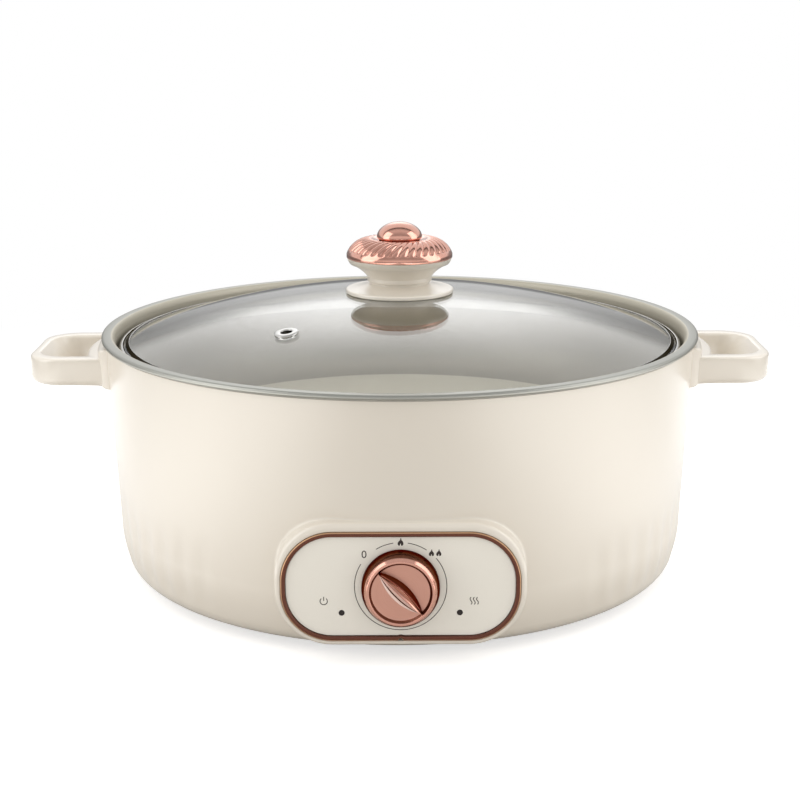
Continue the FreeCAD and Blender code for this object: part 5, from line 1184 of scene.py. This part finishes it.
LEAF_HALF, LEAF_WIDE, LEAF_RISE, LEAF_END = 14.25, 4.3, 7.6, 3.6
RIDGE, ROUND_EDGE = -0.2, 0.86    # where they lie across the grip, whose edges are at -1 and 1
LEAF_TURN = math.radians(135)
leaf_bow = (LEAF_HALF ** 2 + LEAF_WIDE ** 2) / (2 * LEAF_WIDE)
crown_drop = LEAF_RISE - LEAF_END
crown_bow = (LEAF_HALF ** 2 + crown_drop ** 2) / (2 * crown_drop)


def leaf_half(along):
    """Half the width of the grip at a distance from its middle."""
    return max(math.sqrt(leaf_bow ** 2 - along ** 2) - (leaf_bow - LEAF_WIDE), 0)


def leaf_point(u, v):
    """A point of the grip at a share along it and a share round its section."""
    along = LEAF_HALF * math.sin(math.pi * (u - 0.5))
    half = leaf_half(along)
    rise = LEAF_RISE - crown_bow + math.sqrt(crown_bow ** 2 - along ** 2)
    if v <= 0 or v >= 1:
        return (along, 0, DIAL_FACE - 0.2)
    side = (v - 0.5) / 0.42
    if abs(side) > 1:
        return (along, math.copysign(half, side), DIAL_FACE - 0.2)
    if side > ROUND_EDGE:
        share = 0.35 * math.sqrt(max(1 - ((side - ROUND_EDGE) / (1 - ROUND_EDGE)) ** 2, 0))
    elif side > RIDGE:
        share = 0.35 + 0.65 * ((ROUND_EDGE - side) / (ROUND_EDGE - RIDGE)) ** 1.5
    else:
        away = (RIDGE - side) / (1 + RIDGE)
        share = 1 - 0.3 * away - 0.7 * away ** 3
    return (along, half * side, DIAL_FACE + rise * share)


leaf = wrapped("dial_leaf", 48, 60, leaf_point)
sides = [face.center.y / MM / max(leaf_half(face.center.x / MM), 0.01)
         for face in leaf.data.polygons]
place_at(leaf, AT_DIAL @ Matrix.Rotation(LEAF_TURN, 4, "Z"))
fit(leaf, "dial", rose_gold, "rose_gold", "dial_knob", degrees=60)
leaf.data.materials.append(painted_shade_copper)
leaf.data.materials.append(painted_highlight_rose)
# Painted reflections on the grip: dark stripes in deep copper brown along it, and a near white
# painted highlight over most of its wider flank.
for face, side in zip(leaf.data.polygons, sides):
    if side < -0.72 or -0.6 < side < -0.34 or 0.36 < side < 0.56:
        face.material_index = 1
    elif side > -0.06:
        face.material_index = 2

# %% [markdown]
# ## Marks on the fascia
#
# Round the dial a thin circle is printed, broken at three places: a plain 0 where the heat is
# off, one flame for low and two flames for high heat. Beside the two indicator windows stand a
# sign for power and one for warmth. Each mark is a film of ink with hardly any thickness.

# %% Printed lines
INK = 0.04
LINE = 0.4
SCALE_RADIUS = 21.5
POWER_SIGN, WARMTH_SIGN = (-35.9, 33.4), (34.3, 31.6)


def ribbon(name, path, width):
    """A flat line of ink along points (x, z) on the fascia, a given width in millimetres."""
    steps = len(path) - 1

    def spot(u, v):
        i = round(u * steps)
        here = Vector(path[i])
        ahead = Vector(path[min(i + 1, steps)]) - Vector(path[max(i - 1, 0)])
        side = Vector((-ahead.y, ahead.x)).normalized() * width / 2
        turn = round(v * 4) % 4
        across = side if turn in (0, 3) else -side
        lift = INK if turn in (2, 3) else -INK
        if i in (0, steps):
            lift = 0
        return (here.x + across.x, -(FASCIA_FRONT + lift), here.y + across.y)
    return wrapped(name, steps, 4, spot)


def circle_path(across, up, radius, start, end, steps):
    """Points round a circle between two angles in degrees."""
    turns = [math.radians(start + (end - start) * k / steps) for k in range(steps + 1)]
    return [(across + radius * math.cos(t), up + radius * math.sin(t)) for t in turns]


marks = []
for i, (start, end) in enumerate(((56, 81), (99, 122), (149, 400))):
    arc_path = circle_path(0, PANEL_UP, SCALE_RADIUS, start, end, (end - start) // 2)
    marks.append(ribbon(f"scale_arc_{i}", arc_path, 0.35))
across, up = POWER_SIGN
marks.append(ribbon("power_ring", circle_path(across, up, 1.7, -230, 50, 40), LINE))
marks.append(ribbon("power_bar", [(across, up + 0.2 + 0.4 * k) for k in range(6)], LINE))
across, up = WARMTH_SIGN
for i, shift in enumerate((-1.5, 0, 1.5)):
    wave = [(across + shift + 0.45 * math.sin(k * math.pi / 6), up + 0.3 * k) for k in range(13)]
    marks.append(ribbon(f"warmth_wave_{i}", wave, LINE))
print(len(marks), "lines of ink")

# %% Printed shapes
def filled(name, loop, across, up, size):
    """A flat ink shape from a smooth closed loop of (x, z) points, drawn at a size."""
    drawing = bpy.data.curves.new(name, "CURVE")
    drawing.dimensions, drawing.fill_mode, drawing.extrude = "2D", "BOTH", INK * MM
    line = drawing.splines.new("BEZIER")
    line.bezier_points.add(len(loop) - 1)
    line.use_cyclic_u = True
    for knot, (x, z) in zip(line.bezier_points, loop):
        knot.co = (x * size * MM, z * size * MM, 0)
        knot.handle_left_type = knot.handle_right_type = "AUTO"
    shape = bpy.data.objects.new(name, drawing)
    bpy.context.scene.collection.objects.link(shape)
    return settle(shape, across, up)


def settle(shape, across, up):
    """Turns a drawing or text into a mesh and lays it on the fascia."""
    bpy.ops.object.select_all(action="DESELECT")
    shape.select_set(True)
    bpy.context.view_layer.objects.active = shape
    bpy.ops.object.convert(target="MESH")
    shape = bpy.context.object
    place_at(shape, Matrix.Translation(Vector((across, -FASCIA_FRONT, up)) * MM)
             @ Matrix.Rotation(math.pi / 2, 4, "X"))
    bpy.ops.object.mode_set(mode="EDIT")
    close_seams()
    return shape


FLAME = [(0.0, -0.9), (0.5, -2.2), (1.4, -2.1), (1.9, -0.8), (1.5, 0.6), (0.7, 1.6), (0.2, 2.9),
         (-0.3, 1.7), (-1.3, 0.6), (-1.9, -0.8), (-1.4, -2.1), (-0.5, -2.2)]
for name, across, up, size in (("low_flame", 0, 62.2, 0.7), ("high_flame_left", 14.3, 56.9, 0.62),
                               ("high_flame_right", 17.7, 56.9, 0.62)):
    marks.append(filled(name, FLAME, across, up, size))

bpy.ops.object.text_add()
zero = bpy.context.object
zero.name = "off_zero"
zero.data.body = "0"
zero.data.size = 5.2 * MM
zero.data.extrude = INK * MM
zero.data.align_x, zero.data.align_y = "CENTER", "CENTER"
marks.append(settle(zero, -16.9, 56.2))
for mark in marks:
    fit(mark, "cooker", ink, "black_plastic", degrees=30)

# %% [markdown]
# ## The power inlet at the back
#
# A cream block carries the socket clear of the round wall. The socket itself is black
# thermoplastic with a deep recess, three contact blades and two screws. Both parts are loops
# of rounded outlines: over the rear face, round the edges, and back inside.

# %% Black plastic
black_plastic, tree = new_material("moulded_glass_filled_nylon_black")
here = position(tree)
grain, tone = grained(tree, here, 2.0, 3.0, "#1B1B1C", "#252526")
relief = add_node(tree, "ShaderNodeBump", {"Height": grain, "Strength": 0.3,
                                           "Distance": 0.00005})
nylon = add_node(tree, "ShaderNodeBsdfPrincipled",
                 {"Base Color": tone, "Roughness": 0.45, "IOR": 1.53,
                  "Normal": relief.outputs["Normal"]})
show(tree, nylon.outputs["BSDF"])
print(black_plastic.name)

# %% Inlet block and socket
BLOCK = rounded_rectangle(56, 36, 8, PANEL_UP, 24, 12)
WAY = rounded_rectangle(28.6, 21.1, 2.3, PANEL_UP, 24, 12)
BLOCK_REAR, BLOCK_ROUND = 169, 2.4


def block_outline(k):
    """One section of the inlet block, from the wall over its rear face into the socket's way."""
    (x, z), normal = BLOCK[k]
    seat, side_end = wall_depth(x, z), BLOCK_REAR - BLOCK_ROUND
    points = [(x, seat - SUNK, z), (x, seat + 0.5, z), (x, side_end, z)]
    for turn in range(1, 7):
        angle = math.radians(15 * turn)
        inset = BLOCK_ROUND * (1 - math.cos(angle))
        points.append((x - normal[0] * inset, side_end + BLOCK_ROUND * math.sin(angle),
                       z - normal[1] * inset))
    (wx, wz), _ = WAY[k]
    return points + [(wx, BLOCK_REAR, wz), (wx, wall_depth(wx, wz) - SUNK, wz)]


inlet_block = ringed("inlet_block", len(BLOCK), block_outline)
fit(inlet_block, "cooker", cream_plastic, "shell_plastic", "inlet_housing", degrees=40)

PLATE = rounded_rectangle(50, 27, 4, PANEL_UP, 24, 12)
BODY = rounded_rectangle(28, 20.5, 2, PANEL_UP, 24, 12)
RECESS = rounded_rectangle(24.6, 16.8, 2, PANEL_UP, 24, 12)
SOCKET_REAR, SOCKET_FLOOR, SOCKET_INNER_END = 172, 155, 146
RECESS_ROUND, PLATE_ROUND = 0.8, 0.9


def socket_outline(k):
    """One section of the socket, from the middle of its floor out to the middle of its back."""
    (rx, rz), recess_normal = RECESS[k]
    (px, pz), plate_normal = PLATE[k]
    bx, bz = BODY[k][0]
    middle = rx * 0.65
    points = [(middle, SOCKET_FLOOR, PANEL_UP), (rx, SOCKET_FLOOR, rz),
              (rx, SOCKET_REAR - RECESS_ROUND, rz)]
    for turn in (30, 60, 90):
        angle = math.radians(turn)
        out = RECESS_ROUND * (1 - math.cos(angle))
        points.append((rx + recess_normal[0] * out,
                       SOCKET_REAR - RECESS_ROUND * (1 - math.sin(angle)),
                       rz + recess_normal[1] * out))
    for turn in (0, 30, 60, 90):
        angle = math.radians(turn)
        inset = PLATE_ROUND * (1 - math.sin(angle))
        points.append((px - plate_normal[0] * inset,
                       SOCKET_REAR - PLATE_ROUND * (1 - math.cos(angle)),
                       pz - plate_normal[1] * inset))
    return points + [(px, BLOCK_REAR, pz), (bx, BLOCK_REAR, bz), (bx, SOCKET_INNER_END, bz),
                     (middle, SOCKET_INNER_END, PANEL_UP)]


socket_rows = len(socket_outline(0))
socket = wrapped("inlet_socket_body", len(PLATE), socket_rows - 1,
                 lambda u, v: socket_outline(round(u * len(PLATE)) % len(PLATE))
                 [round(v * (socket_rows - 1))])
fit(socket, "cooker", black_plastic, "black_plastic", "inlet_socket", degrees=40)

# %% [markdown]
# ## Pieces that keep their shape
#
# What is left is right as it is: sheet, rod, ceramic, rubber and wire. Each gets the finish of
# its real material. A table lists them, so that like materials share one recipe: two tones, a
# grain of a real size that drives both tone and relief, and a typical gloss.

# %% Finishes for the kept pieces
RECIPES = {
    # name: (low tone, high tone, metallic, roughness, grains per mm, relief in mm)
    "nickel_plated_steel": ("#B4B4B2", "#C6C6C4", 1.0, 0.28, 1.5, 0.02),
    "bright_aluminium_sheet": ("#C9CACC", "#DADBDD", 1.0, 0.24, 2.0, 0.02),
    "oxidised_heater_sheath": ("#5A5F58", "#74786F", 0.8, 0.5, 3.0, 0.03),
    "turned_brass": ("#B08D4A", "#C8A560", 1.0, 0.25, 3.0, 0.01),
    "unglazed_steatite_ceramic": ("#DAD4C6", "#E8E3D8", 0.0, 0.75, 2.0, 0.05),
    "moulded_silicone_rubber": ("#C9C6BE", "#D6D3CB", 0.0, 0.55, 1.0, 0.03),
    "black_foot_rubber": ("#202020", "#2C2B2A", 0.0, 0.8, 2.5, 0.08),
    "green_circuit_board": ("#1F5A38", "#2A6E47", 0.0, 0.35, 4.0, 0.02),
    "pvc_insulation_red": ("#9C2A22", "#AE342B", 0.0, 0.4, 0.5, 0.02),
    "pvc_insulation_blue": ("#1F4C8C", "#2A5A9E", 0.0, 0.4, 0.5, 0.02),
    "pvc_insulation_green": ("#2F7A3C", "#3C8C49", 0.0, 0.4, 0.5, 0.02),
    "smoked_polycarbonate_lens": ("#150B09", "#20130F", 0.0, 0.12, 0.3, 0.005),
    "frosted_lamp_glass": ("#E2D9CF", "#EEE7DF", 0.0, 0.3, 2.0, 0.01),
}
finishes = {"cream": cream_plastic, "black_plastic": black_plastic, "fascia": fascia_beige}
for name, (low_tone, high_tone, metallic, roughness, per_mm, depth) in RECIPES.items():
    finishes[name], tree = new_material(name)
    grain, tone = grained(tree, position(tree, per_mm), 1.0, 3.0, low_tone, high_tone)
    relief = add_node(tree, "ShaderNodeBump", {"Height": grain, "Strength": 0.4,
                                               "Distance": depth * MM})
    gloss = add_node(tree, "ShaderNodeMapRange", {"Value": grain,
                                                  "To Min": roughness * 0.85,
                                                  "To Max": roughness * 1.15})
    surface = add_node(tree, "ShaderNodeBsdfPrincipled",
                       {"Base Color": tone, "Metallic": metallic,
                        "Roughness": gloss.outputs["Result"], "Normal": relief.outputs["Normal"]})
    show(tree, surface.outputs["BSDF"])

KEPT = {
    "cream": ["base_cover", "panel_carrier"],
    "fascia": ["panel_fascia"],
    "black_plastic": ["switch_body"],
    "nickel_plated_steel": [
        "base_posts", "base_screws", "heater_pins", "thermostat_bracket", "fuse_clip",
        "backing_right", "backing_left", "handle_screws", "switch_nut", "switch_shaft",
        "dial_spring_ring", "inlet_screws", "inlet_nuts", "knob_washer", "knob_screw"],
    "bright_aluminium_sheet": ["heat_reflector", "thermal_fuse"],
    "oxidised_heater_sheath": ["heater_tube"],
    "turned_brass": ["switch_tabs", "inlet_pins", "knob_insert"],
    "unglazed_steatite_ceramic": ["heater_beads", "thermostat_body"],
    "moulded_silicone_rubber": ["pot_gasket", "knob_gasket"],
    "black_foot_rubber": ["foot_rear_right", "foot_rear_left", "foot_front_left",
                          "foot_front_right"],
    "green_circuit_board": ["lamp_boards"],
    "pvc_insulation_red": ["lead_live", "lead_switched", "lead_link", "lead_return"],
    "pvc_insulation_blue": ["lead_neutral"],
    "pvc_insulation_green": ["lead_earth"],
    "smoked_polycarbonate_lens": ["power_lens", "heating_lens"],
    "frosted_lamp_glass": ["indicator_lamps"],
}
for name, nodes in KEPT.items():
    for node in nodes:
        for place in frame["nodes"][node].material_slots:
            place.material = finishes[name]
shown = [name for name, node in frame["nodes"].items() if not node.hide_render]
print(len(shown), "solids kept,", set(shown) ^ {n for group in KEPT.values() for n in group})

# %% [markdown]
# ## Sizes and faces
#
# The dressed model should fill the same box as the engineering model; each piece printed its size
# as it was fitted, and here the faces are added up.

# %% Sizes and finish
print(sum(FACES_MADE.values()), "faces modelled in", len(FACES_MADE), "pieces")
